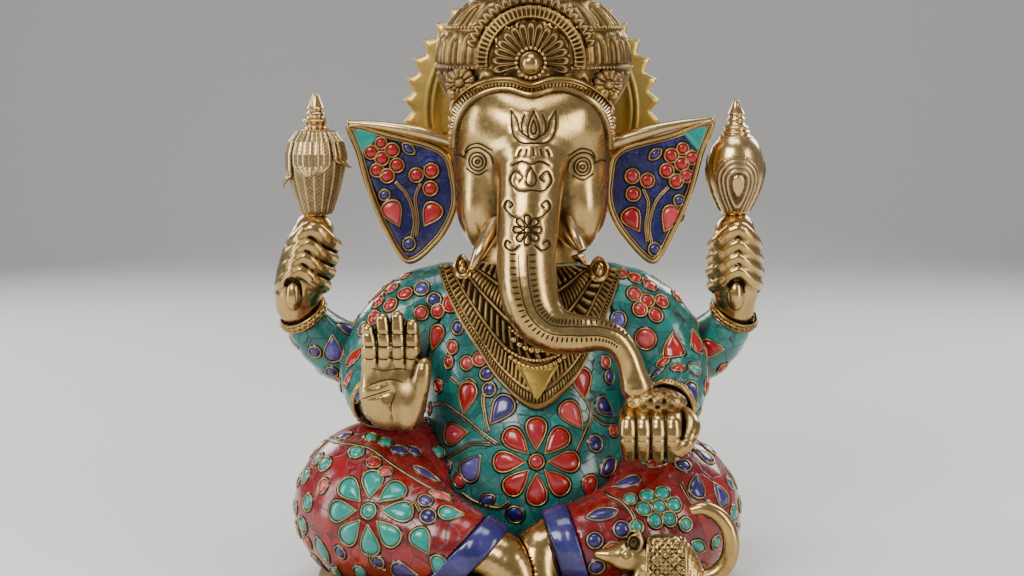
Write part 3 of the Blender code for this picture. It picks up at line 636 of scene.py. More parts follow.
# %% Legs and cuffs
CUFFS = {"right": (leg_right, np.array((-33, -88, 34.0)), np.array((0.72, -0.10, -0.68))),
         "left": (leg_left, np.array((27, -82, 33.0)), np.array((-0.95, -0.10, -0.28)))}
CUFF_WIDE = 13.0
for side, (form, spot, aim) in CUFFS.items():
    aim = aim / np.linalg.norm(aim)

    def leg_piece(p):
        """The leg before its cuff, less the torso."""
        return np.maximum(np.maximum(form(p), (p - spot) @ aim), -torso(p) + 0.2)

    def cuff_piece(p):
        """A rounded ring about the leg, one cuff wide."""
        along = (p - spot) @ aim
        swell = 1.0 + 0.8 * np.sqrt(hold(1 - ((along - 6.8) / 6.5) ** 2))
        f = np.maximum(form(p) - swell, np.abs(along - 6.8) - CUFF_WIDE / 2)
        return np.maximum(f, 3.4 - p[..., 2])

    low, high = ((-132, -118, 0), (6, 54, 94)) if side == "right" else ((0, -112, 0), (126, 54, 92))
    sculpt("leg_chips_" + side, leg_piece, low, high, 1.4, coral_chips,
           ("leg_mosaic_" + side, "leg_casting_" + side), "coral_mosaic",
           lambda p: {"seam": hold(hollows(leg_piece, p) * 1.4 - 0.5)})

    def tone(p):
        """Slow clouds over the stone."""
        return {"tone": hold(0.15 + 0.12 * np.sin(p[:, 0] * 0.3 + p[:, 2] * 0.2))}

    sculpt("cuff_" + side, cuff_piece, spot - (30, 26, 34), spot + (32, 30, 30), 0.9, lapis,
           ("ankle_cuff_" + side,), "lapis_stone", tone)

# %% [markdown]
# ## Stage, light and camera
# A pale floor, soft lamps all round and a camera that looks slightly down on the front.
# Polished brass shows what is around it, so the lamps are large panels with darker room
# between them.

# %% Stage, light and camera
def panel(name, place, aim, width, height, watts, colour=(1, 1, 1)):
    """A rectangular soft lamp that faces a point."""
    data = bpy.data.lights.new(name, "AREA")
    data.shape, data.size, data.size_y, data.energy, data.color = "RECTANGLE", width, height, watts, colour
    lamp = bpy.data.objects.new(name, data)
    lamp.location = place
    lamp.rotation_euler = (Vector(aim) - Vector(place)).to_track_quat("-Z", "Y").to_euler()
    bpy.context.scene.collection.objects.link(lamp)


middle = (0.0, 0.0, 0.17)
panel("key", (-0.55, -1.0, 0.95), middle, 0.7, 0.5, 13, (1.0, 0.97, 0.93))
panel("side", (1.0, -0.7, 0.45), middle, 0.35, 0.9, 7, (1.0, 0.95, 0.88))
panel("left_strip", (-1.1, -0.15, 0.4), middle, 0.3, 0.9, 5.5, (0.93, 0.96, 1.0))
panel("back_right", (0.8, 0.9, 0.8), middle, 0.6, 0.6, 10)
panel("back_left", (-0.8, 1.0, 0.7), middle, 0.6, 0.6, 8)
panel("top", (0.0, -0.1, 1.3), middle, 0.6, 0.6, 6)

world = bpy.data.worlds.new("studio")
bpy.context.scene.world = world
world.use_nodes = True
world.node_tree.nodes["Background"].inputs["Color"].default_value = (0.80, 0.82, 0.86, 1)
world.node_tree.nodes["Background"].inputs["Strength"].default_value = 0.34

bend = np.radians(np.linspace(0, 90, 25))         # the floor sweeps up into a backdrop
arc = np.stack([1.5 + 0.9 * np.sin(bend), 0.9 - 0.9 * np.cos(bend)], 1)
line = np.concatenate([[(-4, 0)], arc, [(2.4, 4)]])
sweep = np.concatenate([np.column_stack([np.full(len(line), x), line]) for x in (-4.0, 4.0)])
sweep = sweep - (0, 0, 0.0002)
k = np.arange(len(line) - 1)
strip = np.stack([k, k + 1, k + len(line) + 1, k + len(line)], 1)
floor_mesh = bpy.data.meshes.new("floor")
floor_mesh.from_pydata(sweep.tolist(), [], strip.tolist())
floor_mesh.shade_smooth()
floor = bpy.data.objects.new("floor", floor_mesh)
bpy.context.scene.collection.objects.link(floor)
paint = bpy.data.materials.new("floor_paint")
paint.use_nodes = True
paint.node_tree.nodes["Principled BSDF"].inputs["Base Color"].default_value = (0.74, 0.73, 0.71, 1)
paint.node_tree.nodes["Principled BSDF"].inputs["Roughness"].default_value = 0.6
floor_mesh.materials.append(paint)

eye = bpy.data.cameras.new("camera")
eye.lens, eye.sensor_width = 72.6, 36.0
DISTANCE, AIM_X, AIM_Z = 1.150, -0.0067, 0.1562        # metres from the aim, and where it is
camera = bpy.data.objects.new("camera", eye)
tilt = math.radians(7)
camera.location = (AIM_X, -DISTANCE * math.cos(tilt), AIM_Z + DISTANCE * math.sin(tilt))
camera.rotation_euler = (math.pi / 2 - tilt, 0, 0)
bpy.context.scene.collection.objects.link(camera)
bpy.context.scene.camera = camera

# %% [markdown]
# ## Head and trunk
# The head is one casting.  Its forehead ornament is chased: narrow grooves filled with dark
# patina.  Here the drawing is a set of lines seen from the front.  The surface is pressed in
# a little near them, and dark threads are laid along them in a later cell.

# %% Line drawing for the chased ornament
def loop(cx, cz, rx, rz, n=24):
    """Points on an ellipse."""
    a = np.radians(np.linspace(0, 360, n))
    return np.stack([cx + rx * np.cos(a), cz + rz * np.sin(a)], 1)


def drop_line(cx, cz, long, wide, turn, n=20):
    """A drop with its tip along the turn, degrees from up to the right."""
    t = np.linspace(0, 2 * math.pi, n)
    a, b = np.cos(t) * long, np.sin(t) * np.abs(np.sin(t / 2)) ** 1.4 * wide * 1.25
    r = math.radians(turn)
    return np.stack([cx + a * math.sin(r) + b * math.cos(r), cz + a * math.cos(r) - b * math.sin(r)], 1)


def bent(x, z, side, points, n=24):
    """A smooth line through points measured from x, z.  The side scales their distance
    across, so -1 mirrors the line."""
    return smooth_path([(x + side * across, z + up) for across, up in points], n)


def to_lines(p, lines):
    """Distance of each x, z point to the nearest of the drawn lines."""
    q, out = p[:, (0, 2)], np.full(len(p), 99.0)
    for line in lines:
        low, high = line.min(0) - 3, line.max(0) + 3
        pick = np.where(((q > low) & (q < high)).all(1))[0]
        for a, b in zip(line[:-1], line[1:]):
            step = b - a
            t = hold(((q[pick] - a) @ step) / max(step @ step, 1e-9))
            gap = np.linalg.norm(q[pick] - a - t[:, None] * step, axis=1)
            out[pick] = np.minimum(out[pick], gap)
    return out


def forehead_lines():
    """An open lotus over five rays, a scroll ornament, and a flower between four scrolls."""
    x = 4.6
    lines = [drop_line(x, 249.5, 7.4, 3.6, 0, 20), drop_line(x, 248.6, 3.6, 1.6, 0, 14)]
    for s in (-1, 1):                                        # side petals of the lotus
        lines.append(bent(x, 0, s, [(0, 240.2), (7, 240.8), (11.2, 246), (11.8, 257)]))
        lines.append(bent(x, 0, s, [(11.8, 257), (8.6, 251.8), (7, 246.5), (1.5, 242.4)]))
        lines.append(bent(x, 0, s, [(5.8, 244.8), (6.4, 250), (4.6, 255)], 10))
    for k in range(-2, 3):                                   # rays under the lotus
        lines.append(bent(x, 0, k, [(3.4, 237.8 - abs(k) * 0.3), (3.9, 235.6), (4.3, 233.8)], 6))
    x = 3.2
    for s in (-1, 1):                                        # scroll pair of the ornament
        lines.append(bent(x, 0, s, [(0, 216.5), (7, 216.2), (11, 221), (8.5, 226), (4.6, 223),
                                    (6.8, 220.6)]))
        lines.append(bent(x, 0, s, [(0, 229.5), (5, 231), (10, 228.8)], 10))
    lines.append(drop_line(x, 223.5, 5.0, 3.0, 0, 16))
    x, z = 1.2, 196.5
    for s in (-1, 1):                                        # four scrolls about the flower
        lines.append(bent(x, z, s, [(4.5, 5.6), (8.2, 7), (12.2, 11), (10.5, 14.4), (7.6, 12.6),
                                    (9.2, 10.8)]))
        lines.append(bent(x, z, s, [(3.5, -7.5), (8, -10.4), (11.8, -8.6), (10.8, -5.6), (8.6, -6.8)]))
    for k in range(8):                                       # eight-petalled flower
        a = k * math.pi / 4
        lines.append(drop_line(x + 4.6 * math.sin(a), z + 4.6 * math.cos(a), 2.9, 1.9, k * 45 + 180, 12))
    lines.append(loop(x, z, 1.6, 1.6, 12))
    return lines


def trunk_marks():
    """Two lines down the front of the trunk with short ticks across on both sides."""
    path = smooth_path(TRUNK, 60)[:, (0, 2)]
    ahead = np.gradient(path, axis=0)
    ahead /= np.linalg.norm(ahead, axis=1)[:, None]
    side = np.stack([ahead[:, 1], -ahead[:, 0]], 1)
    part = slice(15, 46)
    drift = np.interp(np.arange(60), (15, 24, 34, 46), (2.2, 0.8, -3.0, -2.4))
    path = path + side * drift[:, None]
    lines = [(path + side * w)[part] for w in (-2.2, 2.2)]
    dense = smooth_path(np.hstack([path[part], side[part]]), 34)
    for (x, z, sx, sz), end in zip(dense, np.interp(np.arange(34), (0, 18, 33), (6.8, 6.2, 4.6))):
        for s in (-1, 1):
            lines.append(np.array([(x + s * sx * w, z + s * sz * w) for w in (3.2, end)]))
    return lines


# %% Head casting
EYES = ((-25.2, 229.3), (30.9, 226.7))
EYE_RISE = 1.1


def eye_lines():
    """Three rings, two lids and the corners of each eye."""
    lines = []
    for (x, z), s in zip(EYES, (-1, 1)):
        lines += [loop(x, z, 4.6, 4.9, 28), loop(x, z, 2.9, 3.1, 20), loop(x, z, 1.0, 1.1, 10)]
        lines.append(bent(x, z, s, [(7.5, 2), (4.6, 6.2), (-1, 7.4), (-6.6, 4), (-8.2, -1)]))
        lines.append(bent(x, z, s, [(7.0, 4.6), (4.6, 8.2), (-1, 9.6), (-7.4, 6.4)]))
        lines.append(bent(x, z, s, [(6.5, 1.5), (10.5, 3), (13, 2)], 10))
        lines.append(bent(x, z, s, [(-5, -4.5), (0, -7.0), (6, -4)], 12))
    return lines


def eye_swell(p):
    """A bell about each eye's middle, seen from the front."""
    return sum(np.exp(-((p[..., 0] - x) ** 2 + (p[..., 2] - z) ** 2) / 11.0) for x, z in EYES)


def head_mask(p):
    """Only the front of the head takes the drawing."""
    n = slope(head, p, 0.6)
    return hold((-n[:, 1] - 0.12) * 4)


points, faces = surface(lambda p: np.maximum(head(p), 180 - p[..., 2] - 90 * (p[..., 1] < -30)),
                        (-45, -104, 104), (70, 36, 284), 0.85 * FINE)
front = head_mask(points)
fine = np.minimum(to_lines(points, forehead_lines()), to_lines(points, eye_lines()))
lobes = eye_swell(points) * front
normal = slope(head, points)
# painted shade from the occlusion of the head's hollows, with patina beside the chased lines
patina_and_shade = hold(hollows(head, points, (1.0, 2.5, 5.0)) * 0.7
                 + hold(1 - fine / 2.2) * front * 0.18)
points = points + normal * (-0.3 * hold(1 - (fine / 1.1) ** 2) * front + EYE_RISE * lobes)[:, None]
make("head_and_trunk", points, faces, brass, ("head_casting",), "brass", {"patina_and_shade": patina_and_shade})


def head_with_eyes(p):
    """The head with its two swollen eyes, for lines laid on them."""
    return head(p) - EYE_RISE * eye_swell(p)

# %% [markdown]
# ## Stones in wire
# Every stone on the chips is a low dome in a loop of brass wire, bedded in black lac.  A
# stone is worked out flat, as an outline of two half sizes and rings of rising height, then
# laid against the form: each of its points is moved along the form's own slope until it
# lies on the surface, and lifted by its height.

# %% Laying things on a form
TURN = 20            # points round a stone


def view_axes(view):
    """Looking direction and viewer's right for a side of the statue, degrees from the front."""
    a = math.radians(view)
    return np.array([-math.sin(a), math.cos(a), 0.0]), np.array([math.cos(a), math.sin(a), 0.0])


def land(field, across, height, view=0.0):
    """Where lines of sight from one side first meet a form."""
    look, right = view_axes(view)
    p = np.outer(across, right) + np.outer(height, (0, 0, 1.0)) - look * 190
    for _ in range(70):
        p = p + np.clip(field(p), -2, 60)[:, None] * look * 0.8
    missed = field(p) > 1.0
    p[missed] -= ((p[missed] @ look))[:, None] * look
    return p


def settle(field, p, rise=0.0, steps=3):
    """Points moved along the slope onto a form and lifted off it; also the slope there."""
    flat = p.reshape(-1, 3)
    for _ in range(steps):
        n = slope(field, flat)
        flat = flat - n * np.clip(field(flat), -4, 4)[:, None]
    lifted = flat.reshape(p.shape) + n.reshape(p.shape) * np.asarray(rise)[..., None]
    return lifted, n.reshape(p.shape)


def shape_line(kind, count=TURN):
    """Unit outlines with their tip along the first axis: round, drop or leaf."""
    t = 2 * math.pi * np.arange(count) / count
    if kind == "drop":
        return np.stack([np.cos(t), 1.4 * np.sin(t) * np.abs(np.sin(t / 2)) ** 1.4], 1)
    if kind == "leaf":
        return np.stack([np.cos(t), np.sin(t) * np.abs(np.sin(t)) ** 0.55], 1)
    return np.stack([np.cos(t), np.sin(t)], 1)


def flat_rings(field, stones, grow, rings, count=TURN):
    """Rings of points (stone, ring, turn) round each stone's middle, laid on the form.
    rings holds (fraction of the outline, rise) pairs; rise is times the stone's own dome."""
    spots, tips = np.array([s["spot"] for s in stones]), np.array([s["tip"] for s in stones])
    n = slope(field, spots)
    u = tips - n * np.einsum("ij,ij->i", tips, n)[:, None]
    u /= np.linalg.norm(u, axis=1)[:, None]
    v = np.cross(u, n)
    lines = np.array([shape_line(s["kind"], count) for s in stones])
    size = np.array([(s["long"] + grow, s["wide"] + grow) for s in stones])
    lines = lines * size[:, None]
    fraction, rise = np.array(rings, float).T
    ab = lines[:, None] * fraction[None, :, None, None]
    p = spots[:, None, None] + ab[..., :1] * u[:, None, None] + ab[..., 1:] * v[:, None, None]
    return settle(field, p, np.broadcast_to(rise[None, :, None], p.shape[:3]))


def closed_rings(points, count=TURN):
    """Faces of stacked rings closed by a pole at each end: poles are the first and last
    points of every copy."""
    rows = points.shape[1]
    top, bottom = points[:, 0].mean(1), points[:, -1].mean(1)
    body_points = points.reshape(len(points), -1, 3)
    all_points = np.concatenate([top[:, None], body_points, bottom[:, None]], 1)
    step = all_points.shape[1]
    quads = grid(rows, count, start=1)
    tris = np.concatenate([fan(0, count, 0, 1, True), fan(rows - 1, count, step - 1, 1)])
    return all_points.reshape(-1, 3), [many(quads, len(points), step), many(tris, len(points), step)], step


def tubes(paths, normals, radius, sides=5, closed=True):
    """Wires: a circle carried along each path, in the plane of the surface's normal and
    the direction across the path.  Open ends close on a pole."""
    ahead = np.roll(paths, -1, 1) - np.roll(paths, 1, 1) if closed else np.gradient(paths, axis=1)
    ahead /= np.maximum(np.linalg.norm(ahead, axis=2, keepdims=True), 1e-9)
    across = np.cross(ahead, normals)
    across /= np.maximum(np.linalg.norm(across, axis=2, keepdims=True), 1e-9)
    up = np.cross(across, ahead)
    phi = 2 * math.pi * np.arange(sides) / sides
    radius = np.broadcast_to(radius, paths.shape[:2])[..., None, None]
    p = paths[:, :, None] + radius * (np.cos(phi)[:, None] * up[:, :, None]
                                      + np.sin(phi)[:, None] * across[:, :, None])
    copies, length = paths.shape[:2]
    if closed:
        return p.reshape(-1, 3), [many(grid(length, sides, True), copies, length * sides)]
    ends = np.stack([paths[:, 0], paths[:, -1]], 1)
    p = np.concatenate([p.reshape(copies, -1, 3), ends], 1)
    step = length * sides + 2
    tris = np.concatenate([fan(0, sides, step - 2, 0, True), fan(length - 1, sides, step - 1)])
    return p.reshape(-1, 3), [many(grid(length, sides), copies, step), many(tris, copies, step)]


def stacked(parts):
    """Several (points, faces) sets as one."""
    points, faces, start = [], [], 0
    for p, fs in parts:
        points.append(p)
        faces += [f + start for f in fs]
        start += len(p)
    wide = sorted({f.shape[1] for f in faces})
    return np.concatenate(points), [np.concatenate([f for f in faces if f.shape[1] == w]) for w in wide]


COLOURS = {"coral": (coral, "coral_stone"), "lapis": (lapis, "lapis_stone"),
           "turquoise": (turquoise, "turquoise_mosaic")}


def stone_rows(field, rows, view=0.0):
    """Rows of colour, tone, kind, across, height, half length, half width, tip turn
    (degrees from up towards the viewer's right) laid on a form as seen from one side."""
    _, right = view_axes(view)
    table = np.array([r[3:] for r in rows], float)
    spots = land(field, table[:, 0], table[:, 1], view)
    a = np.radians(table[:, 4])
    tips = np.outer(np.sin(a), right) + np.outer(np.cos(a), (0, 0, 1.0))
    met = np.abs(field(spots)) < 0.5
    return [dict(colour=r[0], tone=r[1], kind=r[2], spot=s, tip=t, long=n[2], wide=n[3])
            for r, s, t, n, ok in zip(rows, spots, tips, table, met) if ok]


def flower(field, middle, petals, reach, long, wide, colour, kind="drop", turn=0.0, tone=0.1):
    """Petals in a ring about a point of a form, their tips towards the middle."""
    n = slope(field, middle[None])[0]
    up = np.array([0, 0, 1.0]) - n * n[2]
    up /= np.linalg.norm(up)
    side = np.cross(up, n)
    a = np.radians(turn + 360.0 * np.arange(petals) / petals)
    out = np.outer(np.cos(a), up) + np.outer(np.sin(a), side)
    spots, _ = settle(field, middle + out * reach)
    return [dict(colour=colour, tone=tone, kind=kind, spot=s, tip=-o, long=long, wide=wide)
            for s, o in zip(spots, out)]


def flower_eye(spot, colour, tone, size):
    """The one round stone in the middle of a flower."""
    return [dict(colour=colour, tone=tone, kind="round", spot=spot, tip=np.array([0, 0, 1.0]),
                 long=size, wide=size)]


def put_stones(name, field, stones, nodes=(), dome=1.25, ring=0.5):
    """Every stone of a list, one piece for each colour, with their wires and their lac."""
    random = np.random.default_rng(len(name) * 7 + len(stones))
    first = True
    for colour, (finish, place) in COLOURS.items():
        chosen = [s for s in stones if s["colour"] == colour]
        if not chosen:
            continue
        rings = [(0.06, dome), (0.5, dome * 0.9), (0.82, dome * 0.6), (1.0, 0.12), (1.0, -0.9)]
        p, _ = flat_rings(field, chosen, 0.0, rings)
        points, faces, step = closed_rings(p)
        tone = np.repeat([s["tone"] + random.uniform(-0.08, 0.1) for s in chosen], step)
        make(name + "_" + colour, points, faces, finish, nodes if first else (), place,
             {"tone": hold(tone)})
        first = False
    path, n = flat_rings(field, stones, ring * 1.1, [(1.0, ring * 0.75)], 22)
    points, faces = tubes(path[:, 0], n[:, 0], ring)
    make(name + "_wires", points, faces, wire)
    p, _ = flat_rings(field, stones, ring * 2 + 0.75, [(0.1, 0.14), (1.0, 0.14), (1.0, -0.7)])
    points, faces, _ = closed_rings(p)
    make(name + "_lac", points, faces, lac)


def vines(name, field, lines, view=0.0, radius=0.42, apart=0.62, samples=40):
    """Pairs of wires side by side along drawn lines of across, height points."""
    parts = []
    for line in lines:
        drawn = smooth_path(line, samples)
        met = np.abs(field(settle(field, land(field, drawn[:, 0], drawn[:, 1], view))[0])) < 0.5
        if met.sum() < samples // 3:
            continue
        drawn = smooth_path(drawn[met], samples)
        p, n = settle(field, land(field, drawn[:, 0], drawn[:, 1], view), 0.0, 5)
        ahead = np.gradient(p, axis=0)
        side = np.cross(ahead, n)
        side /= np.linalg.norm(side, axis=1)[:, None]
        pair = np.stack([p + side * apart, p - side * apart])
        pair, n2 = settle(field, pair, np.full(pair.shape[:2], radius * 0.6), 1)
        parts.append(tubes(pair, n2, radius, closed=False))
        under, n3 = settle(field, p[None], np.full((1, samples), -0.75), 1)
        DARK.append(tubes(under, n3, apart + 1.0, 6, False))
    points, faces = stacked(parts)
    make(name, points, faces, wire)


DARK = []            # lac lines under the vines, made as one piece at the end

# %% [markdown]
# ## The belly flower and the stones of the torso
# Eight coral petals with their tips inward round a coral eye, straight up first.  Round it
# lie drops and round stones between curling vines of doubled wire.

# %% Stones of the torso
middle = land(body, np.array([FLOWER[0]]), np.array([FLOWER[1]]))[0]
petals = flower(body, middle, 8, 14.8, 8.3, 4.9, "coral")
eye_stone = flower_eye(middle, "coral", 0.2, 3.4)
put_stones("belly_flower", body, petals + eye_stone,
           tuple("belly_petal_%d" % k for k in range(1, 9)) + ("belly_flower_centre",), 1.3)

FRONT = [
    ("coral", 0.0, "drop", -31, 102, 8.2, 5.2, 182), ("lapis", 0.2, "drop", -13, 97, 8.6, 5.4, 214),
    ("coral", 0.5, "drop", -37, 83, 8.4, 5.4, 88), ("lapis", 0.9, "drop", -28, 67, 7.8, 5.6, 40),
    ("lapis", 0.2, "round", -42, 65, 3.2, 3.2, 0), ("lapis", 0.2, "round", -53, 70, 3.2, 3.0, 0),
    ("coral", 0.1, "round", -52, 92, 2.7, 2.7, 0), ("coral", 0.2, "round", -53, 83, 2.7, 2.7, 0),
    ("coral", 0.1, "round", -47, 106, 3.4, 3.8, 0), ("lapis", 0.1, "round", -20, 116, 3.6, 2.9, 60),
    ("coral", 0.4, "round", -39, 128, 3.1, 3.1, 0), ("coral", 0.1, "round", -41, 120, 3.0, 2.6, 0),
    ("coral", 0.6, "round", -31, 120.5, 3.2, 3.2, 0), ("lapis", 0.1, "round", -36, 139, 3.2, 3.2, 0),
    ("coral", 0.0, "drop", -48, 132, 7.2, 3.4, 200), ("coral", 0.1, "round", -47, 147, 3.4, 3.0, 30),
    ("coral", 0.5, "round", -56, 146, 3.2, 3.2, 0), ("lapis", 0.6, "round", -56, 159, 3.8, 3.3, 20),
    ("lapis", 0.1, "round", -49, 153, 3.2, 3.2, 0),
    ("coral", 0.1, "drop", 31, 110, 8.2, 5.2, 180), ("coral", 0.65, "drop", 26, 94, 8.4, 5.4, 146),
    ("lapis", 0.0, "drop", 44, 96, 6.5, 4.6, 120), ("lapis", 0.1, "round", 38, 79, 3.8, 3.8, 0),
    ("lapis", 0.0, "leaf", 45, 66, 6.0, 3.8, 60), ("coral", 0.1, "drop", 35, 56, 6.6, 4.0, 178),
    ("lapis", 0.0, "round", -5, 43, 4.2, 4.2, 0), ("lapis", 0.0, "round", 18, 42, 4.2, 4.2, 0),
    ("coral", 0.2, "round", 48, 84, 2.8, 2.8, 0), ("lapis", 0.2, "leaf", -20, 50, 4.6, 2.4, 60),
    ("lapis", 0.2, "round", 46, 112, 3.0, 3.0, 0), ("coral", 0.3, "round", 44, 120, 2.8, 2.8, 0),
    ("lapis", 0.8, "round", 51, 142, 4.4, 3.8, 20), ("coral", 0.55, "round", 66, 132, 5.4, 5.2, 0),
    ("coral", 0.05, "drop", 81, 128, 8.0, 5.4, 0), ("lapis", 0.1, "leaf", 71, 115, 5.2, 2.6, 80),
    ("coral", 0.1, "round", 75, 120, 3.4, 2.2, 60), ("coral", 0.1, "round", 83, 118, 3.4, 2.2, 60),
    ("coral", 0.1, "round", 54, 166, 3.2, 2.6, 30), ("lapis", 0.1, "round", 47, 160, 3.4, 3.0, 0),
]
SHOULDERS = [("coral", 0.1, "round", x, z, 3.6, 2.9, t) for x, z, t in (
    (-66, 164, 40), (-73, 158, 40), (-65, 156, 50), (-73, 150, 40), (-80, 151, 10), (-82, 143, 10),
    (61, 164, 320), (69, 160, 320), (67, 152.5, 320), (75, 152, 320), (71.5, 145, 320))]
SHOULDERS += [("coral", 0.5, "round", 60, 156, 3.6, 3.2, 320),
              ("coral", 0.4, "round", 63, 148, 3.6, 3.2, 320)]
REAR = [
    ("lapis", 0.1, "leaf", -99, 132, 6.0, 3.0, 95), ("lapis", 0.9, "drop", -107, 122, 7.4, 4.6, 0),
    ("coral", 0.1, "drop", -92, 123, 7.0, 3.6, 20), ("coral", 0.1, "drop", -95, 112, 4.6, 2.6, 15),
    ("lapis", 0.2, "round", -108, 108, 3.0, 3.0, 0), ("lapis", 0.3, "round", -117, 120, 3.0, 3.0, 0),
    ("coral", 0.1, "round", -103, 103, 3.2, 2.4, 60),
    ("coral", 0.0, "drop", 94, 130, 6.6, 5.0, 0), ("coral", 0.05, "drop", 105, 122, 7.0, 4.6, 90),
    ("turquoise", 0.8, "round", 92, 117, 3.4, 3.4, 0), ("lapis", 0.0, "drop", 101, 108, 6.6, 4.6, 0),
    ("coral", 0.1, "round", 112, 110, 2.8, 2.8, 0)]


def apart(stones, others=(), room=1.2):
    """Drops stones that come too near ones already placed."""
    kept = []
    for s in stones:
        near = [o for o in list(others) + kept
                if np.linalg.norm(o["spot"] - s["spot"]) < max(o["long"], o["wide"]) * 0.85
                + max(s["long"], s["wide"]) * 0.85 + room]
        if not near:
            kept.append(s)
    return kept


def open_to(stones, *fields):
    """Drops stones that another form would cover."""
    return [s for s in stones if all(float(f(s["spot"][None])[0]) > max(s["long"], s["wide"]) * 0.6 + 1
                                     for f in fields)]


def scatter(field, view, low, high, across, step, colours, seed):
    """Staggered rows of drops, rounds and leaves for a side with no placed stones."""
    rows, random, k = [], np.random.default_rng(seed), 0
    for i, z in enumerate(np.arange(low, high, step)):
        for s in np.arange(-across + (i % 2) * step / 2, across + 1, step):
            colour, kind = colours[k % len(colours)]
            long, wide = (6.6, 4.3) if kind == "drop" else (3.2, 3.2) if kind == "round" else (6.0, 2.8)
            rows.append((colour, random.choice([0.05, 0.1, 0.45]), kind, s + random.uniform(-1.5, 1.5),
                         z + random.uniform(-1.5, 1.5), long, wide,
                         float(random.choice([0, 60, 120, 180, 240, 300]))))
            k += 1
    return stone_rows(field, rows, view)


front_stones = stone_rows(body, FRONT + SHOULDERS + REAR)
placed = petals + eye_stone + front_stones
back_middle = land(body, np.array([-5.0]), np.array([84.0]), 180)[0]
back_flower = flower(body, back_middle, 8, 15.5, 8.6, 5.0, "coral")
back_eye = flower_eye(back_middle, "lapis", 0.1, 3.6)
extra = []
KINDS = [("coral", "drop"), ("lapis", "round"), ("coral", "round"), ("lapis", "drop"), ("coral", "leaf"),
         ("coral", "round"), ("lapis", "round")]
for view in (180, 90, 270, 135, 225, 50, 310):
    found = scatter(body, view, 20 if view in (180, 135, 225) else 60, 168, 118 if view == 180 else 60,
                    15.5, KINDS, view)
    found = open_to(found, leg_right, leg_left, head)
    extra += apart(found, placed + back_flower + back_eye + extra)
put_stones("torso_stones", body, front_stones + back_flower + back_eye + extra)

vines("torso_vines", body, [
    [(-14, 80), (-24, 86), (-33, 92), (-44, 97), (-50, 95)], [(-18, 80), (-28, 79), (-36, 74), (-42, 70)],
    [(-19, 86), (-21, 94), (-22, 104), (-17, 112)], [(28, 76), (33, 86), (36, 94), (33, 102)],
    [(26, 108), (20, 113), (22, 118)], [(36, 94), (42, 89), (46, 88)],
    [(-34, 52), (-26, 48), (-14, 46), (-8, 50)], [(24, 50), (30, 46), (38, 48)],
    [(-40, 112), (-35, 109), (-30, 112), (-26, 110)]])
vines("back_vines", body, [
    [(-5, 106), (-7, 118), (-16, 126), (-26, 124)], [(-5, 106), (-3, 118), (8, 126), (18, 124)],
    [(-27, 84), (-36, 88), (-42, 98)], [(17, 84), (26, 88), (32, 98)],
    [(-24, 66), (-34, 58), (-40, 46)], [(14, 66), (24, 58), (30, 46)]], 180)

# %% [markdown]
# ## Stones of the legs
# One leg carries a turquoise flower of eight petals, the other a rosette of round turquoise.

# %% Stones of the legs
knee = land(leg_right, np.array([-81.0]), np.array([51.0]))[0]
knee_flower = flower(leg_right, knee, 8, 15.6, 8.0, 5.2, "turquoise", turn=-3, tone=0.1)
knee_flower += flower_eye(knee, "turquoise", 0.3, 3.6)
LEG_R_ROWS = [
    ("turquoise", 0.2, "round", -89, 77, 3.7, 3.7, 0), ("turquoise", 0.1, "round", -106, 70, 3.7, 3.7, 0),
    ("turquoise", 0.1, "round", -114, 72, 3.7, 3.7, 0), ("turquoise", 0.2, "round", -117, 62, 3.8, 3.8, 0),
    ("turquoise", 0.1, "round", -115, 50, 4.0, 3.6, 0), ("turquoise", 0.1, "round", -118, 37, 3.8, 3.8, 0),
    ("turquoise", 0.2, "round", -86, 17, 4.0, 3.4, 0), ("turquoise", 0.1, "leaf", -107, 26, 7.4, 4.0, -20),
    ("lapis", 0.0, "round", -50, 50, 3.6, 3.6, 0), ("turquoise", 0.1, "drop", -38, 51, 6.4, 4.0, 90),
    ("turquoise", 0.0, "drop", -53, 38, 7.0, 4.8, 150), ("lapis", 0.2, "drop", -62, 21, 7.0, 4.6, 95),
    ("turquoise", 0.2, "round", -82, 83, 3.4, 3.0, 0), ("turquoise", 0.2, "round", -74, 81, 3.2, 3.2, 0),
    ("lapis", 0.1, "round", -66.5, 77, 4.2, 3.0, 60), ("lapis", 0.1, "round", -59, 75.5, 4.0, 3.0, 60),
    ("lapis", 0.2, "leaf", -52, 66, 8.0, 3.2, 128), ("lapis", 0.1, "round", -97, 82, 4.0, 3.2, 90),
    ("coral", 0.9, "round", -73, 69, 3.4, 2.6, 60), ("coral", 0.9, "round", -106, 60, 3.6, 2.8, 0),
    ("coral", 0.9, "leaf", -44, 58, 6.0, 2.8, 120), ("turquoise", 0.2, "drop", -100, 14, 5.0, 3.6, 30),
    ("lapis", 0.1, "round", -76, 25, 3.0, 3.0, 0), ("turquoise", 0.2, "drop", -45, 26, 5.0, 3.6, 200)]
rosette_middle = land(leg_left, np.array([70.0]), np.array([52.5]))[0]
rosette = flower(leg_left, rosette_middle, 6, 8.6, 3.6, 3.6, "turquoise", "round", 28)
rosette += flower_eye(rosette_middle, "turquoise", 0.2, 3.5)
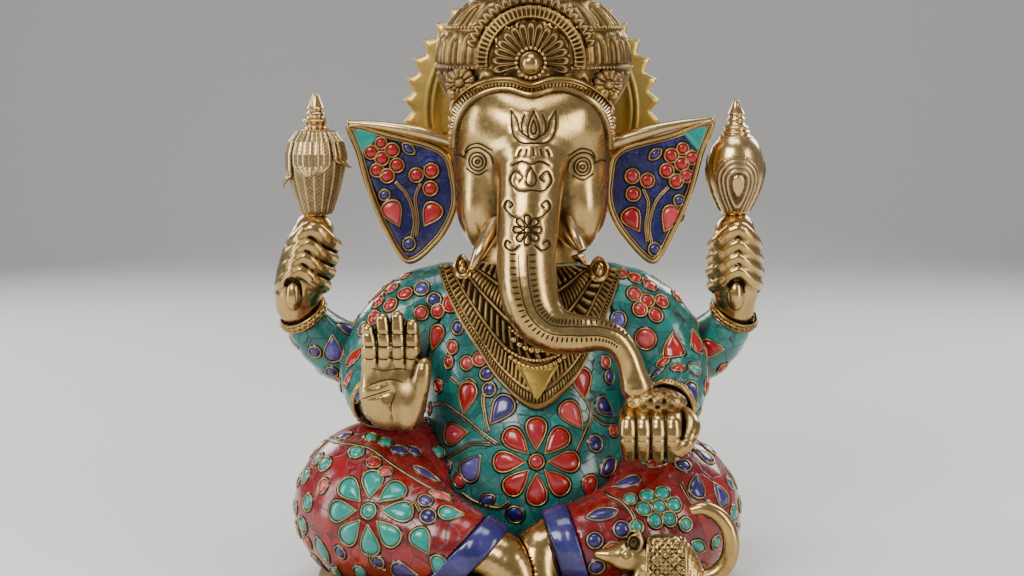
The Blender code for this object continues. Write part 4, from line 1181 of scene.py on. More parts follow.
LEG_L_ROWS = [
    ("lapis", 0.1, "leaf", 40, 50, 8.0, 3.2, 250), ("lapis", 0.2, "drop", 53, 62, 7.4, 4.4, 232),
    ("lapis", 0.1, "round", 50, 43, 3.8, 3.8, 0), ("lapis", 0.1, "round", 36, 38, 3.6, 3.6, 0),
    ("lapis", 0.1, "round", 37, 24, 3.6, 3.6, 0), ("lapis", 0.1, "drop", 91, 60, 7.0, 4.4, 20),
    ("lapis", 0.2, "drop", 104, 54, 7.0, 4.6, 330), ("lapis", 0.1, "drop", 96, 72, 6.6, 4.6, 340),
    ("lapis", 0.1, "round", 84, 69, 3.8, 3.8, 0), ("coral", 0.1, "round", 88, 78, 4.0, 3.0, 60),
    ("lapis", 0.1, "round", 76, 77, 3.8, 3.2, 90), ("coral", 0.1, "round", 69, 70, 3.4, 2.8, 90),
    ("turquoise", 0.2, "round", 112, 42, 3.8, 3.8, 0), ("lapis", 0.1, "round", 110, 65, 4.0, 3.2, 40),
    ("coral", 0.9, "round", 97, 48, 3.6, 3.0, 0), ("coral", 0.9, "leaf", 44, 33, 6.0, 2.8, 60)]
LEG_KINDS = [("turquoise", "round"), ("lapis", "drop"), ("turquoise", "drop"), ("coral", "round"),
             ("turquoise", "round"), ("lapis", "round"), ("turquoise", "leaf")]


def leg_stones(name, field, fixed, views, seed, *covers):
    """A leg's own stones, and rows on its other sides where nothing covers them."""
    more = []
    for view in views:
        found = scatter(field, view, 14, 86, 60 if view != 180 else 118, 14.5, LEG_KINDS, seed + view)
        more += apart(open_to(found, body, *covers), fixed + more)
    put_stones(name, field, fixed + more)


cuff_room = {side: (lambda p, spot=spot, aim=aim / np.linalg.norm(aim): -((p - spot) @ aim) - 3.0)
             for side, (form, spot, aim) in CUFFS.items()}
leg_stones("leg_stones_right", leg_right, knee_flower + stone_rows(leg_right, LEG_R_ROWS),
           (270, 225, 315, 180, 0), 3, cuff_room["right"])
leg_stones("leg_stones_left", leg_left, rosette + stone_rows(leg_left, LEG_L_ROWS),
           (90, 135, 45, 180, 0), 5, cuff_room["left"], leg_right)
vines("leg_bands_right", leg_right, [[(-112, 78), (-101, 79.5), (-90, 80), (-80, 78), (-67, 70.5),
                                      (-50, 61.5), (-38, 57)],
                                     [(-64, 51), (-58, 56), (-54, 52)], [(-81, 31), (-80, 24), (-72, 20)]])
vines("leg_bands_left", leg_left, [[(42, 58), (52, 54), (57, 46), (54, 38), (46, 33)],
                                   [(82, 62), (88, 52), (98, 46), (108, 48)],
                                   [(62, 70), (74, 70), (84, 76), (92, 84)]])

# %% [markdown]
# ## Turned and chased brass
# The halo, crown, its tip and the buds are turned shapes with a pattern raised on them.
# Each is a grid round an axis: the profile gives radius and height, and a relief formula in
# the turning angle and the height is added to it before the points are made.

# %% Turned pieces
def turned(name, rows, count, finish, nodes=(), axis="z", centre=(0, 0, 0), relief=None):
    """A profile of (radius, height) turned about an axis and closed on a pole at both ends.
    relief(angle, row number from 0 to 1, radius, height) gives extra radius, extra height
    and patina."""
    rows = np.array(rows, float)
    r, h = rows[:, :1], rows[:, 1:2]
    a = 2 * math.pi * np.arange(count)[None] / count
    t = np.linspace(0, 1, len(rows))[:, None]
    dr, dh, patina_and_shade = relief(a, t, r, h) if relief else (0 * a * r, 0 * a * r, 0 * a * r)
    r, h = r + dr + 0 * a, h + dh + 0 * a
    flat = [r * np.cos(a), r * np.sin(a)]
    xyz = {"z": (flat[0], flat[1], h), "y": (flat[0], h, flat[1])}[axis]
    p = np.stack(xyz, -1)[None] + np.array(centre, float)
    points, faces, _ = closed_rings(p, count)
    patina_and_shade = np.concatenate([[0], (patina_and_shade + 0 * a * t).ravel(), [0]])
    return make(name, points, faces, finish, nodes, "brass", {"patina_and_shade": hold(patina_and_shade)})


def profile(points, samples):
    """A smooth profile through (radius, height) points, radii kept at zero or more."""
    rows = smooth_path(points, samples)
    rows[:, 0] = np.maximum(rows[:, 0], 0.02)
    return rows


def wave(x, sharp=1.0):
    """0 to 1 and back once per unit of x; the higher sharp is, the narrower the crest."""
    return (0.5 + 0.5 * np.cos(2 * math.pi * x)) ** sharp


# %% Halo
HALO_X, HALO_Z, TEETH = 4.5, 253.0, 38


def halo_relief(a, t, r, h):
    """Pointed teeth: beyond 62 mm the radius follows a rounded saw round the rim."""
    saw = np.abs((a * TEETH / (2 * math.pi) + 0.5 - TEETH / 4) % 1.0 - 0.5) * 2
    tooth = 5.6 * (1 - saw) ** 1.15
    share = hold((r - 62) / 5.5)
    cloud = 0.15 * np.sin(a * 7 + r * 0.3) * hold(r / 40)
    line = crest(r - 58, 0.8) + 0.6 * crest(r - 61.5, 0.5)
    return tooth * share, cloud * 0.5 + 0 * a, hold(0.05 + 0.75 * line + 0.1 * share * saw) + 0 * a


halo_rows = [(0.02, 38), (30, 38), (50, 38), (55.5, 38), (56.6, 37.2), (57.6, 38.5), (58.5, 38.6),
             (59.6, 37.3), (60.6, 38), (62, 38.1), (65, 38.2), (67.2, 38.6), (67.9, 39.5),
             (67.2, 40.6), (65, 40.9), (62, 41), (60.4, 41.8), (58.8, 41), (50, 41), (48.5, 41.6),
             (47, 41), (25, 41), (0.02, 41)]
turned("halo_disc", halo_rows, TEETH * 8, leaf_brass, ("halo",), axis="y",
       centre=(HALO_X, 0, HALO_Z), relief=halo_relief)


def slot_cut(a, t, r, h):
    """A straight slot across the head of the screw."""
    cut = (np.abs(r * np.sin(a)) < 0.9) & (h > 43)
    return 0 * a * r, -1.1 * cut, 0.8 * cut + 0.1


turned("halo_fixing", profile([(0.02, 24), (2.4, 24.2), (2.4, 32), (2.4, 41.1), (5.4, 41.3), (5.5, 42.6),
                               (4.6, 43.8), (2.4, 44.4), (0.9, 44.5), (0.02, 44.5)], 40), 40, old_brass,
       ("halo_screw",), axis="y", centre=(3.5, 0, 276), relief=slot_cut)


# %% Crown
def crown_form(p):
    """Distance to the crown's ellipsoid."""
    return ball(p, *CROWN)


def cap(p):
    """Head and crown together, for what lies across both."""
    return np.minimum(head(p), crown_form(p))


def crown_rows(count):
    """An ellipsoid in rows from its top to its foot, as radius and height of unit width."""
    polar = np.radians(np.linspace(0.5, 141, count))
    return np.stack([np.sin(polar), np.cos(polar)], 1), polar


unit, polar = crown_rows(110)
count = 320
a = 2 * math.pi * np.arange(count)[None] / count
deg = np.degrees(polar)[:, None]


def petal_band(deg, a, low, high, petals, shift=0.0):
    """A row of upright petals between two polar angles: a raised rim round each and a rib
    down its middle; returns the relief."""
    v = hold((deg - low) / (high - low))
    s = np.abs(((a / (2 * math.pi) * petals + shift) % 1.0) - 0.5) * 2
    edge = np.sqrt(hold(s) ** 2 + hold(1 - v * 1.9) ** 2)
    rim = crest(edge - 0.8, 0.15) + 0.7 * crest(s, 0.14) * (v > 0.3)
    return rim * ((deg > low) & (deg < high))


relief = (petal_band(deg, a, 12, 36, 14) + petal_band(deg, a, 39, 63, 20, 0.5)
          + petal_band(deg, a, 67, 92, 26) + petal_band(deg, a, 97, 124, 30, 0.5))
lines = sum(crest(deg - d, 0.9) for d in (37.5, 65, 94.5, 126, 131)) + 0 * a
relief = np.maximum(relief, lines)
rise = 0.3 + 1.5 * relief
(cx, cy, cz), (rx, ry, rz) = CROWN
ring_r, ring_h = unit[:, :1], unit[:, 1:]
p = np.stack([cx + (rx - 1.8 + rise) * ring_r * np.cos(a), cy + (ry - 1.8 + rise) * ring_r * np.sin(a),
              cz + (rz - 1.8 + rise) * ring_h + 0 * a], -1)
inner = np.stack([cx + (rx - 8) * ring_r[::-3] * np.cos(a), cy + (ry - 8) * ring_r[::-3] * np.sin(a),
                  cz + (rz - 8) * ring_h[::-3] + 0 * a], -1)
shell = np.concatenate([p, inner])[None]
shell[..., 1] = np.minimum(shell[..., 1], 37.4)
points, faces, _ = closed_rings(shell, count)
dark = hold(0.95 - 1.15 * np.minimum(relief, 1)) ** 1.3 * 0.7
patina_and_shade = np.concatenate([[0], dark.ravel(), np.full(inner[..., 0].size, 0.6), [0]])
make("crown_dome", points, faces, old_brass, ("crown",), "brass", {"patina_and_shade": patina_and_shade})

# %% Beads
def beads(name, spots, radius, finish=brass, round_by=8):
    """Small balls: a four-ring ball of few faces copied to every spot."""
    spots = np.asarray(spots, float)
    radius = np.broadcast_to(radius, len(spots))
    polar = np.radians((35, 70, 110, 145))
    a = 2 * math.pi * np.arange(round_by) / round_by
    unit = np.stack([np.sin(polar)[:, None] * np.cos(a), np.sin(polar)[:, None] * np.sin(a),
                     np.cos(polar)[:, None] + 0 * a], -1)
    p = spots[:, None, None] + unit[None] * radius[:, None, None, None]
    points, faces, step = closed_rings(p, round_by)
    low = points.reshape(len(spots), step, 3)
    low[:, 0] = spots + np.outer(radius, (0, 0, 1.0))
    low[:, -1] = spots - np.outer(radius, (0, 0, 1.0))
    return make(name, low.reshape(-1, 3), faces, finish, (), "brass", {"patina_and_shade": 0.0})


def bead_ring(angle, number):
    """Bead spots round the crown at a polar angle."""
    v = 2 * math.pi * np.arange(number) / number
    q = math.radians(angle)
    return np.stack([cx + rx * math.sin(q) * np.cos(v), np.minimum(cy + ry * math.sin(q) * np.sin(v), 37.5),
                     np.full(number, cz + rz * math.cos(q))], 1)


beads("crown_beads", np.concatenate([bead_ring(37.5, 70), bead_ring(65, 104), bead_ring(94.5, 116)]),
      0.95, old_brass)


# %% Relief plates on the crown
def plate(name, top, bottom, finish, nodes=(), patina_and_shade=0.0):
    """A closed body between two grids of points of the same shape."""
    rows, cols = top.shape[:2]
    size = rows * cols
    points = np.concatenate([top.reshape(-1, 3), bottom.reshape(-1, 3)])
    sheet = grid(rows, cols, False, False)
    faces = [sheet, sheet[:, ::-1] + size]
    for k, row in enumerate((0, rows - 1)):
        line = np.arange(cols) + row * cols
        wall = np.stack([line[:-1], line[:-1] + size, line[1:] + size, line[1:]], 1)
        faces.append(wall if k == 0 else wall[:, ::-1])
    for k, col in enumerate((0, cols - 1)):
        line = np.arange(rows) * cols + col
        wall = np.stack([line[:-1], line[1:], line[1:] + size, line[:-1] + size], 1)
        faces.append(wall if k == 0 else wall[:, ::-1])
    patina_and_shade = np.concatenate([np.ravel(patina_and_shade + np.zeros((rows, cols)))] * 2)
    return make(name, points, [np.concatenate(faces)], finish, nodes, "brass", {"patina_and_shade": hold(patina_and_shade)})


def laid(field, x, z, rise, depth=1.2):
    """Top and bottom grids of a plate seen from the front: laid on a form, risen and sunk."""
    p = land(field, x.ravel(), z.ravel())
    top, n = settle(field, p, rise.ravel())
    return top.reshape(*x.shape, 3), (top - n * (rise.ravel() + depth)[:, None]).reshape(*x.shape, 3)


FAN_X, FAN_Z = 3.3, 282.0


def fan_plate(name, low, high, start, end, steps, rows, shape, nodes=()):
    """A sector of rings about the crown's boss: shape(radius, angle in degrees) gives its
    rise, its patina and how far its outer edge moves."""
    angle = np.linspace(start, end, steps)[None]
    share = np.linspace(0, 1, rows)[:, None]
    edge = shape(np.full_like(angle, high), angle)[2]
    r = low + (high + edge - low) * share
    rise, patina_and_shade, _ = shape(r, angle + 0 * r)
    x, z = FAN_X + r * np.cos(np.radians(angle)), FAN_Z + r * np.sin(np.radians(angle))
    top, bottom = laid(crown_form, x, z, rise)
    return plate(name, top, bottom, old_brass, nodes, patina_and_shade)


def loops(r, angle, petals=15, span=(-20, 200), high=20.0):
    """Looped petals: a raised rim that closes over at the outer end of each."""
    pitch = (span[1] - span[0]) / petals
    s = np.abs(((angle - span[0]) / pitch) % 1.0 - 0.5) * 2
    out = hold((r - (high - 4.5)) / 4.5)
    edge = np.sqrt(s ** 2 + out ** 2)
    rim = crest(edge - 0.72, 0.2)
    return 0.5 + 1.7 * rim + 0.6 * (1 - out), 0.75 * (1 - rim), 2.2 * np.sqrt(hold(1 - s ** 2)) - 1.2


def ridges(r, angle, number=34, low=22.6, high=28.6):
    """Radial ribs between two raised borders."""
    rib = wave(angle / 180 * number, 1.2)
    border = crest(r - low - 0.5, 0.5) + crest(r - high + 0.6, 0.6)
    up = np.maximum(rib, border)
    return 0.5 + 1.5 * up, 0.8 * (1 - hold(up)), 0 * r


fan_plate("crown_fan_petals", 6.5, 20.0, -20, 200, 15 * 14 + 1, 18, loops, ("crown_fan",))
fan_plate("crown_arch_ribs", 22.6, 28.6, -6, 186, 34 * 7 + 1, 12, ridges, ("crown_arch",))
fan_plate("crown_arch_outer", 30.4, 34.8, 14, 166, 22 * 9 + 1, 12,
          lambda r, a: loops(r, a, 22, (14, 166), 35.0))
ring = np.radians(np.arange(20) * 18)
spots = land(crown_form, FAN_X + 7.4 * np.cos(ring), FAN_Z - 0.5 + 7.4 * np.sin(ring))
spots, _ = settle(crown_form, spots, 1.9)
beads("crown_fan_beads", spots, 1.15)
boss_rows = profile([(0.02, -54.6), (2.6, -54.1), (4.6, -52.2), (5.1, -50.3), (4.7, -48.9), (6.0, -48.4),
                     (6.2, -47.6), (5.2, -46.5), (0.02, -46.2)], 30)
turned("crown_boss_dome", boss_rows, 32, brass, ("crown_boss",), axis="y", centre=(FAN_X, 0, 281.5),
       relief=lambda a, t, r, h: (0 * a * r, 0 * a * r, 0.7 * crest(h + 48.9, 0.6) + 0 * a))


def daisy(r, angle, petals=12):
    """A small flower: rounded petals, a moat and a knob."""
    s = np.abs((angle / 360 * petals) % 1.0 - 0.5) * 2
    petal = np.sqrt(hold(1 - s ** 2)) * hold((8.2 - r) / 1.5) * (r > 3)
    knob = np.sqrt(hold(1 - (r / 2.6) ** 2))
    up = np.maximum(petal, 0)
    return 0.4 + 1.7 * up + 2.6 * knob, 0.85 * (1 - hold(up + knob)), 0.8 * np.sqrt(hold(1 - s ** 2))


for side, x, z in (("right", -34, 271), ("left", 44.5, 270)):
    angle = np.linspace(0, 360, 97)[None, :-1]
    share = np.linspace(0.03, 1, 14)[:, None]
    r = share * (7.6 + daisy(np.full_like(angle, 7.6), angle)[2])
    rise, patina_and_shade, _ = daisy(r, angle + 0 * r)
    top, bottom = laid(crown_form, x + r * np.cos(np.radians(angle)), z + r * np.sin(np.radians(angle)),
                       rise, 1.0)
    rings = np.concatenate([top, bottom[::-1]])[None]
    points, faces, _ = closed_rings(rings, 96)
    marks = np.concatenate([[0], patina_and_shade.ravel(), patina_and_shade[::-1].ravel(), [0]])
    make("crown_rosette_" + side + "_daisy", points, faces, old_brass, ("crown_rosette_" + side,), "brass",
         {"patina_and_shade": hold(marks)})

def finial_relief(a, t, r, h):
    """Flutes round the foot of the finial and a dark ring under its tip."""
    flute = wave(a / 2 / math.pi * 16, 0.6)
    return (0.5 * (flute - 0.5) * (h < 324) * (h > 319.4), 0 * a * r,
            0.5 * crest(h - 325, 0.7) + 0.4 * (1 - flute) * (h < 323.5) * (h > 319.4))


FINIAL = [(0.02, 330), (2.2, 329.2), (3.5, 327), (2.6, 325.2), (3.2, 324.6), (6.6, 323.6), (8.4, 321.6),
          (8.2, 319.6), (9.2, 319), (9.2, 317.6), (6, 316.6), (0.02, 316.4)]
turned("crown_top", profile(FINIAL, 44), 48, brass, ("crown_finial",), centre=(5, -4, 0),
       relief=finial_relief)

strings = []
for s, x0 in ((-1, -40.5), (1, 49.5)):
    z = np.array([263, 257, 251.5, 247, 243, 239.5])
    x = x0 + s * np.array([0, 2.2, 3.6, 4.0, 4.2, 3.6])
    strings.append(np.stack([x, np.full(6, -27.0), z], 1))
spots, _ = settle(cap, np.concatenate(strings), 1.2)
beads("temple_beads", spots, np.tile((3.4, 2.9, 2.4, 2.0, 1.7, 1.4), 2), old_brass, round_by=12)

# %% Headband
BAND = [(-41, 236), (-40, 246), (-36.5, 256), (-29, 264.5), (-19, 269.5), (-8, 270.5), (3.5, 267.6),
        (15, 270.5), (26, 269.5), (36.5, 264), (44, 256), (47.6, 246), (49, 235)]
drawn = smooth_path(BAND, 300)
ahead = np.gradient(drawn, axis=0)
ahead /= np.linalg.norm(ahead, axis=1)[:, None]
side = np.stack([-ahead[:, 1], ahead[:, 0]], 1)
across = np.linspace(-4.6, 4.6, 25)[:, None]
x, z = drawn[:, 0] + across * side[:, 0], drawn[:, 1] + across * side[:, 1]
along = np.arange(300)[None] / 300
ridge = (crest(across - 3.2, 0.95) * 1.25 + crest(across + 3.6, 0.7)
         + crest(across - 1.3, 0.4) * 0.6)
ticks = wave(along * 74, 1.1) * (across > -2.9) * (across < 0.7)
up = np.maximum(ridge, ticks * 0.85)
top, bottom = laid(cap, x, z, 0.9 + 1.7 * up, 2.0)
plate("headband_ridges", top, bottom, brass, ("headband",), patina_and_shade=0.85 * (1 - hold(up)) ** 1.2)

# %% [markdown]
# ## Ears
# Each ear is a cast plate with a rolled rim and a thick fold along its top; the panel is
# ground lapis, with coral berries on curved stems of wire.

# %% Ears
EARS = {"right": [(-97, 248), (-72, 243), (-44, 234), (-37, 217), (-37, 200), (-47, 182), (-64.5, 170),
                  (-78, 189), (-87, 211), (-92.5, 231)],
        "left": [(104, 250), (80, 243), (51, 234), (45, 217), (46, 200), (56, 183), (72, 170), (84, 188),
                 (93, 209), (98.5, 230)]}


def rounded(points, per=10):
    """A closed smooth outline through the corners."""
    p = np.array(points, float)
    n = len(p)
    t = np.arange(n * per) / per
    i, f = t.astype(int), (t % 1)[:, None]
    a, b, c, d = p[(i - 1) % n], p[i % n], p[(i + 1) % n], p[(i + 2) % n]
    return 0.5 * (2 * b + (c - a) * f + (2 * a - 5 * b + 4 * c - d) * f ** 2
                  + (3 * b - a - 3 * c + d) * f ** 3)


def pulled_in(line, by):
    """An outline moved inward by a distance along its own normals."""
    ahead = np.roll(line, -1, 0) - np.roll(line, 1, 0)
    ahead /= np.linalg.norm(ahead, axis=1)[:, None]
    turn = np.sum(line[:, 0] * np.roll(line[:, 1], -1) - np.roll(line[:, 0], -1) * line[:, 1])
    return line + np.stack([-ahead[:, 1], ahead[:, 0]], 1) * by * (1 if turn > 0 else -1)


EAR_STONES = [  # colour, tone, kind, then place from the ear's inner top: out, down, sizes, tip
    ("coral", 0.05, "round", 48, 9.4, 3.2, 3.2, 0), ("coral", 0.1, "round", 36.5, 8.2, 3.3, 3.3, 0),
    ("coral", 0.0, "round", 42.2, 12.8, 3.3, 3.3, 0), ("coral", 0.0, "round", 34, 16.6, 3.3, 3.3, 0),
    ("coral", 0.1, "round", 45, 19.4, 3.1, 3.2, 0), ("coral", 0.05, "round", 39.4, 22.4, 3.3, 3.3, 0),
    ("coral", 0.0, "round", 42.6, 4.4, 2.6, 2.6, 0),
    ("coral", 0.05, "round", 23.4, 22, 3.3, 3.3, 0), ("coral", 0.1, "round", 15, 19.6, 3.4, 3.4, 0),
    ("coral", 0.0, "round", 15.6, 29.4, 3.4, 3.4, 0),
    ("coral", 0.05, "drop", 15.5, 44, 6.6, 4.8, 150), ("coral", 0.6, "drop", 36, 43.5, 7.2, 5.0, 205),
    ("lapis", 0.2, "round", 41, 33, 2.4, 2.4, 0), ("lapis", 0.15, "round", 27.5, 60, 3.0, 2.8, 0),
    ("lapis", 0.1, "leaf", 27.5, 7.5, 3.6, 2.0, 50)]

for side, shape in EARS.items():
    s = -1 if side == "right" else 1
    line = rounded(shape)
    inner_x, top_z = (-36, 241.5) if side == "right" else (44.5, 238.5)
    heart = line.mean(0)

    def ear_front(p):
        """The face of the ear, dished 1.6 mm about its middle."""
        d = np.hypot(p[..., 0] - heart[0], p[..., 2] - heart[1])
        return -6.3 + 1.6 * hold(1 - (d / 34) ** 2) - p[..., 1]

    def on_front(outline, lift=0.0):
        """An outline of x, z points laid on the ear's face, moved back by the lift."""
        p = np.stack([outline[:, 0], np.zeros(len(outline)), outline[:, 1]], 1)
        p[:, 1] = ear_front(p) + lift
        return p

    rows = []
    for pull, y in ((30, -0.4), (16, -0.2), (5, -0.4), (1.0, -1.0), (0.0, -3.0), (0.1, -5.6), (0.9, -7.3),
                    (1.9, -7.9), (2.9, -7.2), (3.4, -5.4), (14, -3.4), (30, -3.0)):
        if pull < 12:
            ring = pulled_in(line, pull)
        else:
            ring = heart + (pulled_in(line, 4) - heart) * (1 - pull / 32)
        rows.append(np.stack([ring[:, 0], np.full(len(ring), y), ring[:, 1]], 1))
    points, faces, _ = closed_rings(np.array(rows)[None], len(line))
    patina_and_shade = np.concatenate([[0], np.repeat((0.3, 0.3, 0.1, 0, 0, 0, 0, 0.1, 0.6, 1, 1, 1), len(line)), [0]])
    make("ear_plate_" + side, points, faces, brass, ("ear_casting_" + side,), "brass", {"patina_and_shade": patina_and_shade})

    panel_line = pulled_in(line, 3.6)
    rows = [on_front(heart + (panel_line - heart) * f, lower) for f, lower in (
        (0.05, 0.1), (0.25, 0.1), (0.5, 0.1), (0.75, 0.1), (0.96, 0.1), (1.0, 0.6), (1.0, 2.1),
        (0.5, 1.1), (0.1, 0.5))]
    points, faces, _ = closed_rings(np.array(rows)[None], len(line))
    make("ear_panel_" + side, points, faces, lapis_chips, ("ear_inlay_" + side,), "lapis_stone",
         {"seam": 0.0})

    rows = [(c, t, k, inner_x + s * out, top_z - down, long, wide, s * tip)
            for c, t, k, out, down, long, wide, tip in EAR_STONES]
    stones = stone_rows(ear_front, rows)
    put_stones("ear_%s_stones" % side, ear_front, stones, dome=1.3, ring=0.55)
    stems = [[(inner_x + s * out, top_z - down) for out, down in stem] for stem in (
        ((35, 25.5), (28, 34), (24.5, 47), (26, 57)), ((21, 26.5), (24, 35), (22.5, 47), (23.5, 56)))]
    vines("ear_%s_stems" % side, ear_front, stems, radius=0.5, apart=0.5, samples=24)
    corner = panel_line[np.argmax(s * line[:, 0])]
    patch = np.array([(0, 0), (-13, -2.5), (-13.5, -6), (-8.5, -12), (-4.5, -15)]) * (s, 1) + corner
    patch[0] += (-s * 1.2, -1.0)
    patch = rounded(patch, 6)
    rows = [on_front(patch.mean(0) + (patch - patch.mean(0)) * f, -up)
            for f, up in ((0.05, 0.9), (0.6, 0.8), (0.92, 0.55), (1.0, 0.2), (1.0, -0.8))]
    points, faces, _ = closed_rings(np.array(rows)[None], len(patch))
    make("ear_%s_corner" % side, points, faces, turquoise, (), "turquoise_mosaic", {"tone": 0.0})
    edge = on_front(panel_line, -0.35)
    points, faces = tubes(edge[None], np.broadcast_to((0, -1.0, 0), edge.shape)[None], 0.5)
    make("ear_%s_edge" % side, points, faces, wire)
    tip, root = (-97.5, 248.5), (-34, 236.5)
    if side == "left":
        tip, root = (104.5, 250.5), (42, 235)
    t = np.linspace(0, 1, 40)[:, None]
    fold = np.concatenate([tip[0] + (root[0] - tip[0]) * t, -5.0 - 2.5 * np.sin(t * math.pi),
                           tip[1] + (root[1] - tip[1]) * t + 2.2 * np.sin(t * math.pi)], 1)
    width = 1.0 + 3.6 * t[:, 0] ** 0.8
    points, faces = tubes(fold[None], np.broadcast_to((0, -1.0, 0), fold.shape)[None], width[None], 16, False)
    make("ear_%s_fold" % side, points, faces, pale_brass, (), "pale_brass", {"patina_and_shade": 0.0})

# %% Tusks
def rod(path, up, sides):
    """A tapering rod along x, y, z, radius points, closed at both ends."""
    return tubes(path[None, :, :3], np.broadcast_to(up, (1, len(path), 3)), path[None, :, 3], sides, False)


TUSKS = {"right": [(-13, -38, 202, 5.2), (-19, -47, 190, 5.0), (-24, -53, 181, 3.8),
                   (-28.5, -55, 172.5, 1.2)],
         "left": [(22, -38, 202, 5.2), (27, -47, 190, 4.6), (31, -51, 182.5, 2.4)]}
for side, line in TUSKS.items():
    points, faces = rod(smooth_path(line, 30), (0, -0.7, 0.7), 20)
    # the tusk is darker towards its root at the top
    make("tusk_%s_cast" % side, points, faces, pale_brass, ("tusk_" + side,), "pale_brass",
         {"patina_and_shade": np.clip((points[:, 2] - 190) / 25, 0, 0.5)})

# %% [markdown]
# ## Chased lines
# The drawing on the head is cut with a punch and holds black patina.  A groove a third of a
# millimetre wide would be lost in the head's own mesh, so each line is a thin dark thread
# laid in the surface, swelling in its middle and fine at its ends.

# %% Chased lines
chased = brass_finish("black_patina", (0.10, 0.065, 0.03), (0.03, 0.02, 0.01), 0.7, 0.5, 0.3, (), 0.35)


def threads(name, field, lines, radius, samples=22, taper=0.5):
    """Dark threads along drawn x, z lines, half sunk in a form and thinner at their ends."""
    drawn = np.array([smooth_path(line, samples) if len(line) < samples else
                      line[np.round(np.linspace(0, len(line) - 1, samples)).astype(int)] for line in lines])
    flat = drawn.reshape(-1, 2)
    p, n = settle(field, land(field, flat[:, 0], flat[:, 1]), -0.08)
    steps = np.linalg.norm(np.diff(p.reshape(-1, samples, 3), axis=1), axis=2).max(1)
    met = (np.abs(field(p)).reshape(-1, samples).max(1) < 0.6) & (steps < 4)
    p, n = [a.reshape(-1, samples, 3)[met] for a in (p, n)]
    t = np.linspace(0, 1, samples)
    size = radius * (1 - taper + taper * np.sqrt(np.sin(math.pi * np.clip(t, 0.02, 0.98))))
    points, faces = tubes(p.reshape(-1, samples, 3), n.reshape(-1, samples, 3), size[None], 6, False)
    make(name, points, faces, chased)


threads("forehead_lines", head, forehead_lines(), 0.50, taper=0.3)
threads("eye_lines", head_with_eyes, eye_lines(), 0.42, 26, 0.3)
marks = trunk_marks()
threads("trunk_lines", head, marks[:2], 0.4, 90, 0.3)
threads("trunk_ticks", head, marks[2:], 0.62, 7, 0.75)
points, faces = stacked(DARK)
make("vine_lac", points, faces, lac)

# %% [markdown]
# ## Hands
# The front right hand is raised with its palm out, the front left is a fist that holds a
# sweet to the trunk's tip, and the rear hands grip the stems of two buds.

# %% Raised open hand
def fingers_field(p, chains, width):
    """Fingers side by side, softened within the width where they meet."""
    f = limb(p, chains[0], 10)
    for c in chains[1:]:
        f = blend(f, limb(p, c, 10), width)
    return f


OPEN_FINGERS = [[(x, -75, 118, 4.7), (x, -78.5, 134, 4.5), (x + lean, -79, top, 3.5)]
                for x, lean, top in ((-80.6, -1.2, 144), (-73.2, -0.9, 149.5), (-66, -0.4, 150.5),
                                     (-58.8, 0.2, 146.5))]
wrist_r = smooth_path(ARMS["front_right"], 14)[10:]
wrist_l = smooth_path(ARMS["front_left"], 14)[10:]


def open_hand(p):
    """Palm, mound of the thumb, four parted fingers with creased joints, and the wrist."""
    px, py, pz = p[..., 0], p[..., 1], p[..., 2]
    f = blend(ball(p, (-70, -75, 111), (16.5, 8.5, 20)), ball(p, (-60.5, -78, 104), (8, 8, 14)), 4)
    thumb = [(-60, -76, 101, 7), (-55, -80, 113, 5.4), (-53, -81, 123, 4.4), (-52.4, -80, 127, 3.4)]
    f = blend(f, limb(p, thumb, 10), 3)
    f = np.maximum(f, -blend(ball(p, (-72, -87.5, 112), (8, 5.5, 12)), 60 + 0 * f, 1) - 0.4)
    f = blend(f, fingers_field(p, OPEN_FINGERS, 0.3), 1.6)
    f = blend(f, limb(p, wrist_r - (0, 0, 0, 0.9), 0), 5)
    front = hold((-py - 77) / 3)
    for z in (142.6, 136.2, 129.6):
        f = f + 0.5 * crest(pz - z, 0.6) * front
    for cx, cz, slant in ((-76, 115, 0.28), (-77, 109.5, 0.32)):
        d = (pz - cz) - slant * (px - cx)
        f = f + 0.6 * crest(d, 0.6) * np.exp(-((px - cx - 1) / 6.5) ** 4) * front
    d = px + 69.5 + 0.12 * (pz - 100)
    return f + 0.6 * crest(d, 0.6) * np.exp(-((pz - 101) / 6.5) ** 4) * front


def past(name, field):
    """A hand's field beyond the end of its sleeve."""
    spot, aim = arm_end(name)
    return lambda p: np.maximum(field(p), -((p - spot) @ aim))


sculpt("open_hand_cast", past("front_right", open_hand), (-94, -92, 84), (-46, -50, 158), 0.75, brass,
       ("hand_open",), "brass", depth=1.15)
creases = [np.array([(c[1][0] - 3.4, z), (c[1][0], z - 0.5), (c[1][0] + 3.4, z)]) for c in OPEN_FINGERS
           for z in (142.4, 136, 129.4)]
creases += [np.array(line) for line in (
    [(-84, 113), (-78, 116.5), (-70, 118.5), (-63, 117)], [(-85, 107.5), (-78, 110.5), (-70, 113)],
    [(-67, 112), (-69.5, 105), (-69, 97)], [(-80, 124), (-73, 123), (-66, 124), (-60, 123)])]
threads("hand_creases", open_hand, creases, 0.42, 14, 0.6)

# %% Fist
FIST = [[(x, -87, 101, 4.8), (x - 0.4, -96, 97.5, 4.9), (x - 0.4, -97.5, 89, 4.6),
         (x + 0.2, -91.5, 80.5, 4.0)]
        for x in (53.5, 61, 68.6, 76.2)]


